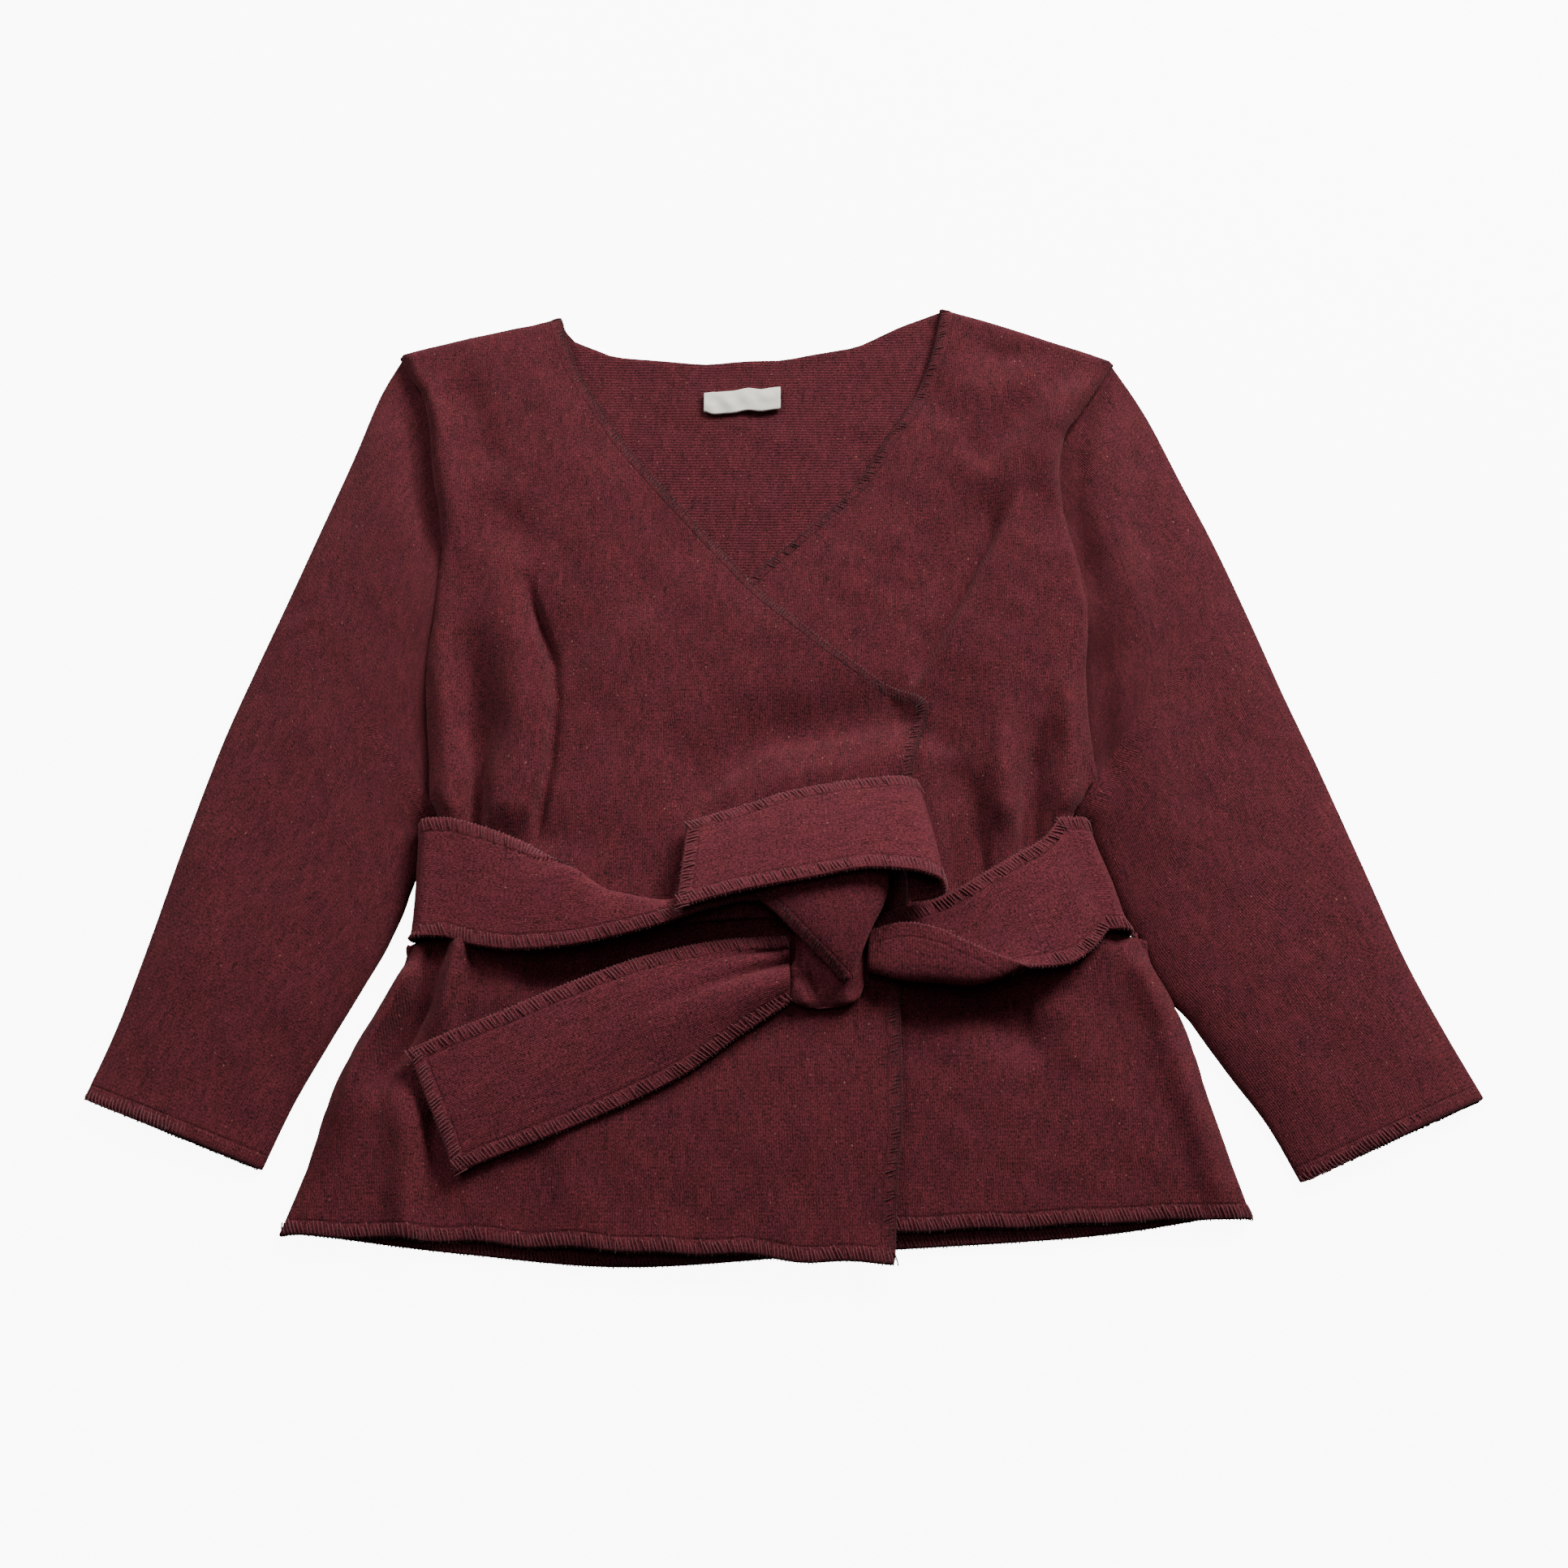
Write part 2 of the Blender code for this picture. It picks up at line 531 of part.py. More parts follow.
def tube_mesh(name, outer, inner):
    """A closed wall between two stacks of rings, open through its middle."""
    rows, around = outer.shape[:2]
    points = np.concatenate([outer.reshape(-1, 3), inner.reshape(-1, 3)])
    offset = rows * around
    faces = []
    for c in range(around):
        following = (c + 1) % around
        for row in range(rows - 1):
            low, high = row * around, (row + 1) * around
            quad = [low + c, low + following, high + following, high + c]
            faces.append(quad)
            faces.append([index + offset for index in reversed(quad)])
        last = (rows - 1) * around
        faces.append([c, c + offset, following + offset, following])
        faces.append([last + c, last + following, last + following + offset, last + c + offset])
    mesh = bpy.data.meshes.new(name)
    mesh.from_pydata((points * MM).tolist(), [], faces)
    return mesh


def belt_grid(stations, along, across):
    """A stretch of belt as points on its middle surface, closer together where it bends."""
    read = read_table(stations, along)
    hem, first, second, neck = (read[:, None, c : c + 3] for c in (0, 3, 6, 9))
    middle = (first + second) / 2
    t = np.linspace(0, 1, 25)[None, :, None]
    halves = [
        (1 - t) ** 2 * start + 2 * t * (1 - t) * pull + t * t * end
        for start, pull, end in ((hem, first, middle), (middle, second, neck))
    ]
    rows = []
    for curve in np.concatenate([halves[0], halves[1][:, 1:]], axis=1):
        steps = np.diff(curve, axis=0)
        heading = unit(steps)
        turns = np.arccos(np.clip((heading[1:] * heading[:-1]).sum(axis=1), -1, 1))
        pace = np.linalg.norm(steps, axis=1) + BEND_WEIGHT * np.append(0, turns)
        reach = np.append(0, np.cumsum(pace))
        places = np.linspace(0, reach[-1], across)
        rows.append([np.interp(places, reach, curve[:, axis]) for axis in range(3)])
    return np.array(rows).transpose(0, 2, 1)


def belt_wall(name, grid, surface):
    """A closed wall of cloth half to each side of a grid of points."""
    half = normals_of(grid) * CLOTH / 2
    return finish(name, wall_mesh(name, grid + half, grid - half), surface)


def side_turn(top, seam, side, reach):
    """Rows of belt that turn round a side of the body, from its underside to its top."""
    lowest = np.clip(top[:, 1], BELT_LOW, BELT_HIGH)
    bottom = np.stack([top[:, 0], lowest, np.full(len(top), CLOTH / 2)], axis=1)
    rows = [bottom]
    for turn in np.linspace(0, 1, 7):
        angle = math.radians(-90 + 180 * turn)
        row = bottom + (top - bottom) * turn
        row[:, 0] = seam_x(seam, row[:, 1]) + side * (0.8 + reach * math.cos(angle))
        row[:, 2] = (bottom + top)[:, 2] / 2 + (top - bottom)[:, 2] / 2 * math.sin(angle)
        rows.append(row)
    return np.stack(rows)


def belt_side(name, stations, seam, side, reach, surface):
    """The belt from behind the waist, round a side of the body and across to the knot."""
    top = belt_grid(stations, 2 * len(stations) - 1, BELT_ACROSS)
    turn = side_turn(top[0], seam, side, reach)
    return belt_wall(name, np.concatenate([turn, top]), surface)


def back_belt(surface):
    """The stretch of belt under the back panel, flat on the surface."""
    share = np.linspace(0, 1, BELT_ACROSS)[:, None, None]
    left = np.array(BELT_LEFT[0]).reshape(4, 3)
    right = np.array(BELT_RIGHT[0]).reshape(4, 3)
    ends = []
    for end, inward in ((left, GAP), (right, -GAP)):
        row = end.copy()
        row[:, 0] += inward
        row[:, 1] = np.clip(row[:, 1], BELT_LOW, BELT_HIGH)
        row[:, 2] = CLOTH / 2
        ends.append(row)
    grid = ends[0] * (1 - share) + ends[1] * share
    return belt_wall("belt_back", grid, surface)


def knot_body(surface):
    """The wrapped body of the knot, one rounded solid."""
    rings = []
    for y, left, right, low, high in read_table(KNOT, 11):
        angle = np.linspace(0, 2 * math.pi, KNOT_AROUND, endpoint=False)
        x = (left + right) / 2 + (right - left) / 2 * np.sign(np.cos(angle)) * (
            np.abs(np.cos(angle)) ** 0.8
        )
        z = (low + high) / 2 + (high - low) / 2 * np.sign(np.sin(angle)) * (
            np.abs(np.sin(angle)) ** 0.8
        )
        rings.append(np.stack([x, np.full(KNOT_AROUND, y), z], axis=1))
    around = KNOT_AROUND
    points = np.concatenate(rings)
    faces = [list(range(around)), [len(points) - around + c for c in reversed(range(around))]]
    for row in range(len(rings) - 1):
        for c in range(around):
            low, following = row * around, (c + 1) % around
            faces.append([low + c, low + around + c, low + around + following, low + following])
    mesh = bpy.data.meshes.new("belt_knot")
    mesh.from_pydata((points * MM).tolist(), [], faces)
    return finish("belt_knot", mesh, surface)


def neck_label(surface):
    """The blank woven label sewn inside the back neck."""
    (left, left_top), (right, right_top) = NECK_LABEL
    share = np.linspace(0, 1, 5)
    x = left + (right - left) * share
    top = left_top + (right_top - left_top) * share
    rows = [
        np.stack([x, top - LABEL_HEIGHT * down, np.full(len(x), CLOTH + GAP)], axis=1)
        for down in (1, 0.5, 0)
    ]
    grid = np.stack(rows)
    return finish("neck_label", wall_mesh("neck_label", grid + [0, 0, LABEL], grid), surface)


def build():
    """Makes every piece of the cardigan."""
    for old in list(bpy.data.objects):
        bpy.data.objects.remove(old)
    knit = material("wine_knit", WINE, 0.92)
    belt = material("wine_belt", WINE_BELT, 0.92)
    label = material("label", LABEL_WHITE, 0.8)
    back_panel(knit)
    front_panel("front_under", UNDER_SECTIONS, UNDER_ACROSS, False, knit)
    front_panel("front_over", OVER_SECTIONS, OVER_ACROSS, True, knit)
    sleeve("sleeve_left", SLEEVE_LEFT_SECTIONS, SEAM_LINE_LEFT, -1, knit)
    sleeve("sleeve_right", SLEEVE_RIGHT_SECTIONS, SEAM_LINE_RIGHT, 1, knit)
    neck_label(label)
    back_belt(belt)
    belt_side("belt_left", BELT_LEFT, SEAM_LINE_LEFT, -1, BELT_REACH_LEFT, belt)
    belt_side("belt_right", BELT_RIGHT, SEAM_LINE_RIGHT, 1, BELT_REACH_RIGHT, belt)
    belt_wall("belt_tail_long", belt_grid(TAIL_LONG, 13, TAIL_ACROSS), belt)
    belt_wall("belt_tail_short", belt_grid(TAIL_SHORT, 17, TAIL_ACROSS), belt)
    knot_body(belt)
    belt_wall("belt_knot_flap", belt_grid(KNOT_FLAP, 11, TAIL_ACROSS), belt)


build()
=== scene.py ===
"""Looks of a baby wrap cardigan in fine heathered knit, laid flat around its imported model.

+X runs to the wearer's left, +Y towards the neck and +Z up from the floor. Tables and sizes
are in millimetres, as in the part's source, and the finished meshes are in metres.
"""

import logging
import math
from dataclasses import dataclass
from enum import Enum

import bmesh
import bpy
import numpy as np
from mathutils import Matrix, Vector


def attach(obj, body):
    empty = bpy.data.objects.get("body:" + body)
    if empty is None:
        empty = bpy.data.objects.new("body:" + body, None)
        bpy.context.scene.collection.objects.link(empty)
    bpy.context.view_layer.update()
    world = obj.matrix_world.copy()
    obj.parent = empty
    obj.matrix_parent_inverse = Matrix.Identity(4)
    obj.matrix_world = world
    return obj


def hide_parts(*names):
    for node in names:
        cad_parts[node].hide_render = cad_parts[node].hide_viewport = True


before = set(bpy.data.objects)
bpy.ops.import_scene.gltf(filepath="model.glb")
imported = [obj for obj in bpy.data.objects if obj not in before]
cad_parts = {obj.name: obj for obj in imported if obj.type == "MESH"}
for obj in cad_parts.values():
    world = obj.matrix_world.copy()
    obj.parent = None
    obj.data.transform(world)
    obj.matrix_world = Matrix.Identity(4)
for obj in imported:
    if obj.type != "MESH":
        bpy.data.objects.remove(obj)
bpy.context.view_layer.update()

LOG = logging.getLogger("cardigan")

MM = 0.001
BODY = "root"
CLOTH = 1.7  # thickness of the knit
GAP = 0.45  # air between pieces that lie on each other
LAYER_GAP = 0.9  # air between the two overlapping fronts
ROLL = 8.0  # how far in from a side seam the front has risen to its full height
ARM_ROLL = 4.0  # the same where a sleeve is sewn or pushed against it
ARM_ROLL_START = (-30, -18)  # where up the side seam the one changes to the other
HEM_EASE = 42.0  # how far above the hem the fronts have risen to their full height
NECK_EASE = 26.0  # how far from the open neck they have risen to their full height
STEP_EASE = 24.0  # run of the slope where one front climbs over the other's hidden edge
PUFF = 1.25  # how much higher than its solid the cloth stands between its folds
SEAM_HEIGHT = 1.0  # height of the folded seam line above what the back lies on
SEAM_LIFT = 4.6  # how much higher it is where a sleeve is pushed up against it
LIFT_START = (-31, -22)  # where up the seam that lift begins
LIFT_END = (128, 160)  # and where it ends
PRESSED_START = (-74, -64)  # where up the fronts the tied belt begins to press them flat
PRESSED_END = (-38, -24)  # and where it ends
PRESSED_SHARE = 0.85  # share of a ridge's height that is lost there
NECK_LOFT = 0.25  # share of their loft that the fronts keep at the open neck
HEM_LOFT = 0.3  # the same at the hem
HEM_LINE = -172  # place of the hem up the garment
SOFT_FLOOR = 0.3  # how softly the loft runs out to nothing, in square millimetres
CLIFF_EDGE = 2.2  # half the width of a pleat's edge
FADE_START = -0.001  # a fold's fade begins this far before its line
STEP_CLEAR = 5.0  # the climb is complete this far from the hidden edge
BACK_INSET = 2.3  # how far inside the side seams the back ends, hidden by the fronts

# The stretch of belt behind the waist, which the back panel rides over.
BELT_LOW = -68.5
BELT_HIGH = -28.5
BELT_LOW_RIGHT = -66.5  # its hem-side edge where it turns round the right side
BELT_RAMP = 8.0
CHANNEL_EASE = 34.0  # run over which the fronts rise over it
BEND_WEIGHT = 2.5  # length that one radian of bend counts for when points are shared out
BELT_REACH_LEFT = 4.4  # how far it stands out from the side seams as it turns round them
BELT_REACH_RIGHT = 3.4
BELT_FLOOR = CLOTH / 2 + 0.05  # height of its middle surface where it lies on the floor

# Sections of each body panel, from hem to shoulder: the two ends of each section.
#    left_x left_y right_x right_y
OVER_SECTIONS = (
    (-158, -163, 34, -173),
    (-151, -143, 35, -150),
    (-146, -123, 37, -128),
    (-140, -107, 37, -110),
    (-131.5, -91, 37, -92),
    (-124.6, -78.5, 38, -78),
    (-120.4, -69.6, 38.6, -71.5),
    (-116, -68.5, 39, -69),
    (-115, -50, 40, -50),
    (-115, -28, 41, -28),
    (-118, -20, 42, -20),
    (-119, -8, 43, -8),
    (-121, 10, 48, 11),
    (-122, 27, 32, 21),
    (-121, 42, 16, 33),
    (-120, 57, 1, 46),
    (-119, 72, -13, 60),
    (-121, 87, -26, 76),
    (-124, 102, -41, 94),
    (-126, 119, -56, 113),
    (-129, 132, -67, 131),
    (-135, 142, -75, 145),
    (-139, 151, -82, 168),
)
UNDER_SECTIONS = (
    (-58, -167, 147, -158),
    (-59, -146, 142, -142),
    (-60, -124, 136, -121),
    (-60, -107, 132, -105),
    (-60, -92, 127, -91),
    (-61, -77, 120, -77),
    (-61.6, -71.5, 116, -67.9),
    (-62, -69, 109, -66.5),
    (-63, -50, 103, -50),
    (-65, -28, 96, -28),
    (-66, -20, 100, -20),
    (-68, -8, 104, -6),
    (-72, 9, 103, 10),
    (-57, 22, 103, 26),
    (-40, 36, 104.5, 41),
    (-22, 51, 104.8, 49),
    (-6, 67, 102, 68),
    (10, 82, 98, 86),
    (25, 97, 97, 101),
    (36, 115, 99, 114),
    (49, 137, 106, 126),
    (55, 156, 114, 139),
    (58, 172, 119, 148),
)
#    x     y
BACK_HEM = ((-156, -162), (-100, -169), (-48, -173), (20, -168.5), (96, -163.5), (145, -156))
BACK_TOP = (
    (-138, 148), (-103, 158), (-82, 166), (-77, 158), (-62, 151), (-30, 148),
    (0, 150), (26, 155), (43, 164), (58, 170), (79, 164), (97, 157), (118, 145),
)
NECK_TIPS = (2, 9)  # the points of that table where the neck meets the shoulders

# Sections of each sleeve, from cuff to armhole: the outer fold and the inner fold.
#    outer_x outer_y inner_x inner_y
SLEEVE_LEFT_SECTIONS = (
    (-224, -120, -165, -143),
    (-216, -97, -157, -123),
    (-208, -67, -147, -103),
    (-200, -34, -137, -84),
    (-190, 3, -129, -68),
    (-182, 27, -123.5, -50),
    (-173, 53, -122.6, -28),
    (-163, 83, -122.0, -8),
    (-154, 111, -123.2, 8),
    (-147, 136, -123.6, 22),
    (-141, 151.5, -123.0, 36),
)
SLEEVE_RIGHT_SECTIONS = (
    (224, -120, 163, -147),
    (214, -99, 154, -129),
    (204, -76, 143, -113),
    (192, -41, 132, -96),
    (180, -6, 121.5, -78),
    (171, 19, 115.5, -60),
    (162, 46, 107.0, -36),
    (152, 75, 105.0, -15),
    (142, 101, 105.6, 2),
    (132, 128, 105.2, 20),
    (122, 149.5, 105.8, 40),
)
# Height of the fronts above the layer they lie on, by distance up the garment.
#    y    loft
LOFT = (
    (-175, 1.4), (-125, 2.6), (-80, 3.0), (-48, 2.2), (-15, 3.4),
    (40, 3.8), (100, 3.6), (150, 2.6), (175, 1.8),
)

# Folds of the fronts. A ridge rises by its height, or sinks where that is negative. A
# cliff rises on the right of its line and sinks on the left, as a pleat's edge does.
# Widths are how far it spreads to the left and right of the line, looking along it.
#  kind     height left right fade_in fade_out  line
FOLDS = (
    ("cliff", 3.8, 15, 26, 0.45, 0.1,
     ((-93, 68), (-86, 50), (-78, 28), (-76, 10), (-77, -8), (-82, -44))),
    ("ridge", -6.5, 2.2, 1.7, 0.25, 0.15,
     ((-91, 66), (-86.5, 50), (-79, 28), (-77.5, 12), (-78.5, -8), (-84, -46))),
    ("ridge", 3.8, 7, 8, 0.5, 0.0, ((-104, 84), (-96, 58), (-91, 33), (-89, 8), (-92, -40))),
    ("ridge", 3.0, 4, 4, 0.4, 0.0, ((-117, 50), (-115, 14), (-112, -10), (-110, -40))),
    ("ridge", -6.5, 6.5, 5.5, 0.6, 0.35, ((-110, 52), (-106, 24), (-103, 2), (-102, -16))),
    ("ridge", -7.5, 3.4, 2.6, 0.6, 0.0, ((-106, 20), (-102.5, -8), (-101.5, -44))),
    ("ridge", -2.6, 7, 7, 0.5, 0.5, ((-100, 96), (-94, 80), (-88, 62))),
    ("ridge", 3.0, 4, 7, 0.3, 0.3, ((-132, 146), (-122, 120), (-117, 96), (-115, 66))),
    ("ridge", -2.0, 6, 7, 0.3, 0.3, ((-116, 142), (-108, 118), (-103, 98))),
    ("ridge", -10, 4.2, 4, 0.0, 0.35,
     ((-110, -58), (-112, -74), (-117, -91), (-127, -107), (-136, -124))),
    ("ridge", 6.4, 3.6, 8, 0.0, 0.45, ((-103, -60), (-107, -78), (-109, -98), (-112, -116))),
    ("ridge", 6.0, 5, 5, 0.1, 0.5, ((-120, -76), (-128, -95), (-137, -116), (-146, -150))),
    ("ridge", 3.6, 6, 5.5, 0.3, 0.2, ((-122, -112), (-119, -140), (-117, -175))),
    ("ridge", -4.6, 5, 6, 0.3, 0.1, ((-108, -112), (-108.5, -140), (-106, -175))),
    ("ridge", 2.8, 6, 6, 0.0, 0.6, ((-86, -64), (-88, -84), (-91, -102))),
    ("ridge", -4.4, 7, 7, 0.2, 0.3, ((-104, -78), (-72, -80), (-42, -75), (-16, -70), (0, -70))),
    ("ridge", -3.4, 7, 7, 0.2, 0.3, ((36, -92), (58, -92), (80, -86), (98, -78))),
    ("ridge", -4.6, 12, 5, 0.25, 0.1,
     ((-38, -34), (-24, -14), (-8, -2), (14, 3), (30, 6), (48, 10))),
    ("ridge", 3.0, 6, 12, 0.4, 0.0, ((-22, -34), (2, -16), (26, -11), (46, -6))),
    ("cliff", 4.4, 14, 26, 0.3, 0.3, ((42, 14), (58, 45), (73, 75), (83, 96))),
    ("ridge", -3.0, 4, 1.6, 0.2, 0.35, ((41, 14), (57, 45), (72, 75), (82, 96))),
    ("ridge", -3.2, 14, 5, 0.3, 0.3, ((51, 42), (65, 74), (77, 106))),
    ("ridge", 2.8, 8, 9, 0.4, 0.3, ((75, 70), (86, 96), (91, 116), (104, 138))),
    ("ridge", -6.5, 8, 8, 0.6, 0.0, ((52, 14), (57, -12), (62, -38), (64, -56))),
    ("ridge", 4.4, 5, 5, 0.5, 0.0, ((74, 24), (73, -8), (71, -46))),
    ("ridge", -6.5, 3.6, 3.2, 0.5, 0.0, ((88, 10), (83, -14), (80, -44))),
    ("ridge", 4.2, 4.5, 4.5, 0.5, 0.0, ((95, 34), (96, -4), (92, -36))),
    ("ridge", -2.0, 7, 6, 0.4, 0.5, ((45, 150), (52, 132), (60, 116))),
    ("ridge", -2.2, 6, 5, 0.4, 0.4, ((62, 124), (70, 108), (82, 122), (94, 138))),
    ("ridge", 1.6, 6, 7, 0.5, 0.5, ((56, 138), (72, 134), (90, 140))),
    ("ridge", -1.6, 4, 5, 0.4, 0.5, ((64, 156), (80, 149), (98, 150))),
    ("ridge", 3.2, 7, 6, 0.2, 0.4, ((110, 142), (99, 126), (93, 106), (94, 80))),
    ("ridge", -5.0, 5, 7, 0.0, 0.5, ((66, -74), (72, -92), (84, -112))),
    ("ridge", 1.8, 9, 8, 0.2, 0.5, ((82, -76), (92, -98), (98, -122))),
    ("ridge", 0.9, 12, 10, 0.3, 0.5, ((50, -84), (56, -105), (62, -135))),
    ("ridge", 2.4, 6, 5, 0.1, 0.2, ((112, -72), (121, -94), (130, -128), (138, -165))),
    ("ridge", -1.4, 14, 14, 0.4, 0.4, ((-60, 96), (-44, 60), (-30, 20))),
    ("ridge", 1.4, 12, 16, 0.3, 0.4, ((-50, 128), (-30, 84), (-2, 44))),
)
# The same for the sleeves, whose folds also turn up on the parts that face the floor.
SLEEVE_FOLDS = (
    ("ridge", -4.0, 9, 5, 0.2, 0.5,
     ((-138, 147), (-130, 119), (-127.5, 98), (-124, 75), (-126, 40))),
    ("ridge", 2.2, 15, 8, 0.3, 0.4, ((-150, 138), (-144, 112), (-141, 80), (-144, 48))),
    ("ridge", 1.0, 12, 12, 0.3, 0.3, ((-158, 90), (-164, 60), (-172, 30))),
    ("ridge", -0.9, 3, 3, 0.2, 0.5, ((-174, 44), (-166, 50), (-156, 50))),
    ("ridge", -0.8, 2.5, 3, 0.2, 0.5, ((-170, 36), (-162, 42), (-153, 40))),
    ("ridge", -1.0, 14, 12, 0.4, 0.4, ((-160, 0), (-176, -40), (-188, -80))),
    ("ridge", 0.8, 10, 10, 0.3, 0.3, ((-182, -20), (-192, -60), (-204, -100))),
    ("ridge", -4.0, 5, 6, 0.15, 0.3, ((115, 142), (103, 112), (101, 88), (105.5, 62), (108, 36))),
    ("ridge", 3.0, 7, 16, 0.25, 0.3, ((128, 134), (118, 108), (115, 80), (119, 50), (122, 24))),
    ("ridge", -3.2, 5, 6, 0.3, 0.4, ((108, 52), (107.5, 22), (107.5, -6), (111, -30))),
    ("ridge", 1.6, 7, 14, 0.3, 0.4, ((122, 40), (122, 10), (126, -20), (134, -50))),
    ("ridge", -1.2, 3, 4, 0.3, 0.5, ((122, 140), (129, 128), (138, 120))),
    ("ridge", -1.0, 13, 13, 0.4, 0.4, ((150, 30), (164, -10), (176, -60))),
    ("ridge", 0.9, 9, 9, 0.3, 0.3, ((176, -10), (188, -50), (198, -90))),
)
# Creases of the knot's wrapped body.
KNOT_FOLDS = (
    ("ridge", -2.4, 3.5, 3, 0.0, 0.1, ((4, -72), (9, -84), (15, -98))),
    ("ridge", -0.8, 2, 2.4, 0.1, 0.2, ((1, -84), (7, -85), (12, -89))),
    ("ridge", -0.8, 2.4, 2.4, 0.3, 0.1, ((20, -90), (25, -86), (28, -84))),
    ("ridge", 0.5, 2.4, 2.4, 0.2, 0.2, ((4, -78), (5, -88), (8, -95))),
)
# Lengthwise pleats of the belt where the knot draws it together.
#   across depth width reach
TAIL_PLEATS = (
    (0.82, -1.8, 0.05, 0.25),
    (0.60, -1.9, 0.08, 0.45),
    (0.36, 1.0, 0.14, 0.50),
    (0.12, -0.8, 0.07, 0.30),
)

# The belt's stretches. Each station gives the hem-side edge, the two points that the
# cloth is drawn towards on its way across, and the neck-side edge.
#    hem x, y, z          first x, y, z        second x, y, z       neck x, y, z
BELT_LEFT = (
    (-110, -69, 11.2,     -110, -56, 11.4,     -110, -42, 11.7,     -110, -29.5, 12.2),
    (-99, -72.5, 13.2,    -98, -60, 13.6,      -97, -45, 13.4,      -97, -33.5, 12.8),
    (-85, -74.5, 15.6,    -84, -60, 16.2,      -84, -45, 15.0,      -84, -39, 12.6),
    (-71, -74, 17.6,      -70, -56, 18.2,      -70, -45.5, 16.0,    -71, -48, 12.4),
    (-56, -71.5, 19.2,    -55, -57, 20.0,      -55, -56, 13.0,      -55, -63, 12.2),
    (-40, -67.5, 20.2,    -39, -60, 21.0,      -39, -59, 13.2,      -40, -65, 12.4),
    (-26, -62.5, 20.2,    -26, -56, 20.4,      -26, -57, 13.4,      -26, -64, 12.6),
    (-11, -59, 19.2,      -11, -52, 19.8,      -11, -54, 13.2,      -11, -63, 12.8),
    (0, -59.5, 18.6,      0, -53, 19.4,        0, -54, 13.2,        0, -63, 13.0),
)
BELT_RIGHT = (
    (105, -66.5, 11.2,    100, -54, 11.4,      95.5, -41, 11.4,     91, -29, 11.4),
    (99, -74, 13.2,       95, -61, 13.8,       90.5, -48, 13.4,     86, -36, 12.4),
    (90, -79.5, 15.2,     85, -68, 15.4,       80, -54, 14.6,       76, -42.5, 13.0),
    (80, -81, 17.8,       77, -80, 16.4,       71, -64, 14.0,       66, -48.5, 13.2),
    (70, -79, 19.8,       70, -86, 19.2,       66, -81, 13.8,       58, -53.5, 13.2),
    (59, -74.5, 21.0,     60, -87.5, 20.6,     57, -85, 13.4,       50, -57.5, 13.2),
    (48, -69.5, 21.2,     49, -86, 20.6,       48, -85, 13.4,       42, -60, 13.4),
    (38, -67.5, 19.6,     38, -85, 19.2,       38, -84, 13.4,       35, -62, 13.6),
    (27.8, -69.5, 17.0,   27.0, -82, 17.6,     27.0, -81, 13.0,     27.6, -65, 13.4),
)
TAIL_LONG = (
    (1.5, -91.5, 12.8,    1.5, -86, 14.6,      1.5, -77, 14.8,      1.5, -70.5, 13.4),
    (-15, -102.5, 12.2,   -15.5, -92, 15.8,    -16.5, -81, 16.2,    -17, -71.5, 13.6),
    (-32, -114.5, 11.6,   -36, -101, 15.2,     -40, -89, 15.8,      -44, -77, 14.0),
    (-54, -125.5, 11.0,   -59, -112, 13.4,     -64, -99, 14.0,      -69, -86, 13.4),
    (-76, -134.5, 9.8,    -81, -121, 12.0,     -86, -108, 12.4,     -90, -95, 12.8),
    (-92, -140.5, 8.6,    -97, -127, 10.8,     -101, -114, 11.2,    -105, -101, 12.2),
    (-103, -145, 7.6,     -108, -132, 9.6,     -114, -119, 10.2,    -119, -107, 10.8),
)
TAIL_SHORT = (
    (-34, -63, 24.0,      -33, -53, 21.6,      -32, -42, 19.4,      -31, -32, 15.6),
    (-14, -58, 25.6,      -14, -48, 23.0,      -14, -37, 20.4,      -14, -27, 16.4),
    (8, -54.5, 28.0,      7.5, -43, 25.4,      7, -32, 22.0,        6, -21, 17.0),
    (28, -51.5, 29.6,     27.5, -40, 26.2,     27, -29, 22.6,       26, -18, 17.6),
    (42, -52.5, 29.4,     40.5, -40, 26.0,     39, -28, 22.6,       37, -17, 17.8),
    (50, -55, 27.4,       48, -42, 24.0,       45.5, -29.5, 20.4,   43, -18, 16.8),
    (51.3, -57.5, 24.2,   49.3, -45, 21.0,     47, -32, 17.8,       44, -20, 15.0),
    (47.5, -59, 21.4,     45.5, -46, 18.4,     43.5, -34, 16.0,     42, -22, 13.8),
    (41, -60, 21.0,       40, -47, 18.0,       39, -35, 15.6,       38, -23, 13.7),
)
KNOT_FLAP = (
    (-7.5, -50, 22.2,     5, -49, 24.8,        38, -48, 24.8,       28, -48, 19.0),
    (-8.6, -57.5, 21.4,   5, -55.5, 24.6,      40, -54.5, 25.2,     28, -55.5, 18.2),
    (-2, -64.2, 21.0,     7, -63, 24.4,        37.5, -61.5, 24.8,   26.5, -61.5, 18.2),
    (5, -71.2, 20.2,      11, -70.5, 23.6,     31.5, -69, 23.6,     24.5, -69, 18.4),
    (12.6, -78.6, 19.2,   15.5, -78.3, 21.8,   26, -77.4, 21.8,     22.5, -77.6, 18.4),
    (18.8, -85, 18.2,     19.6, -85.2, 19.2,   21, -85.2, 19.2,     21.6, -84.8, 18.2),
)
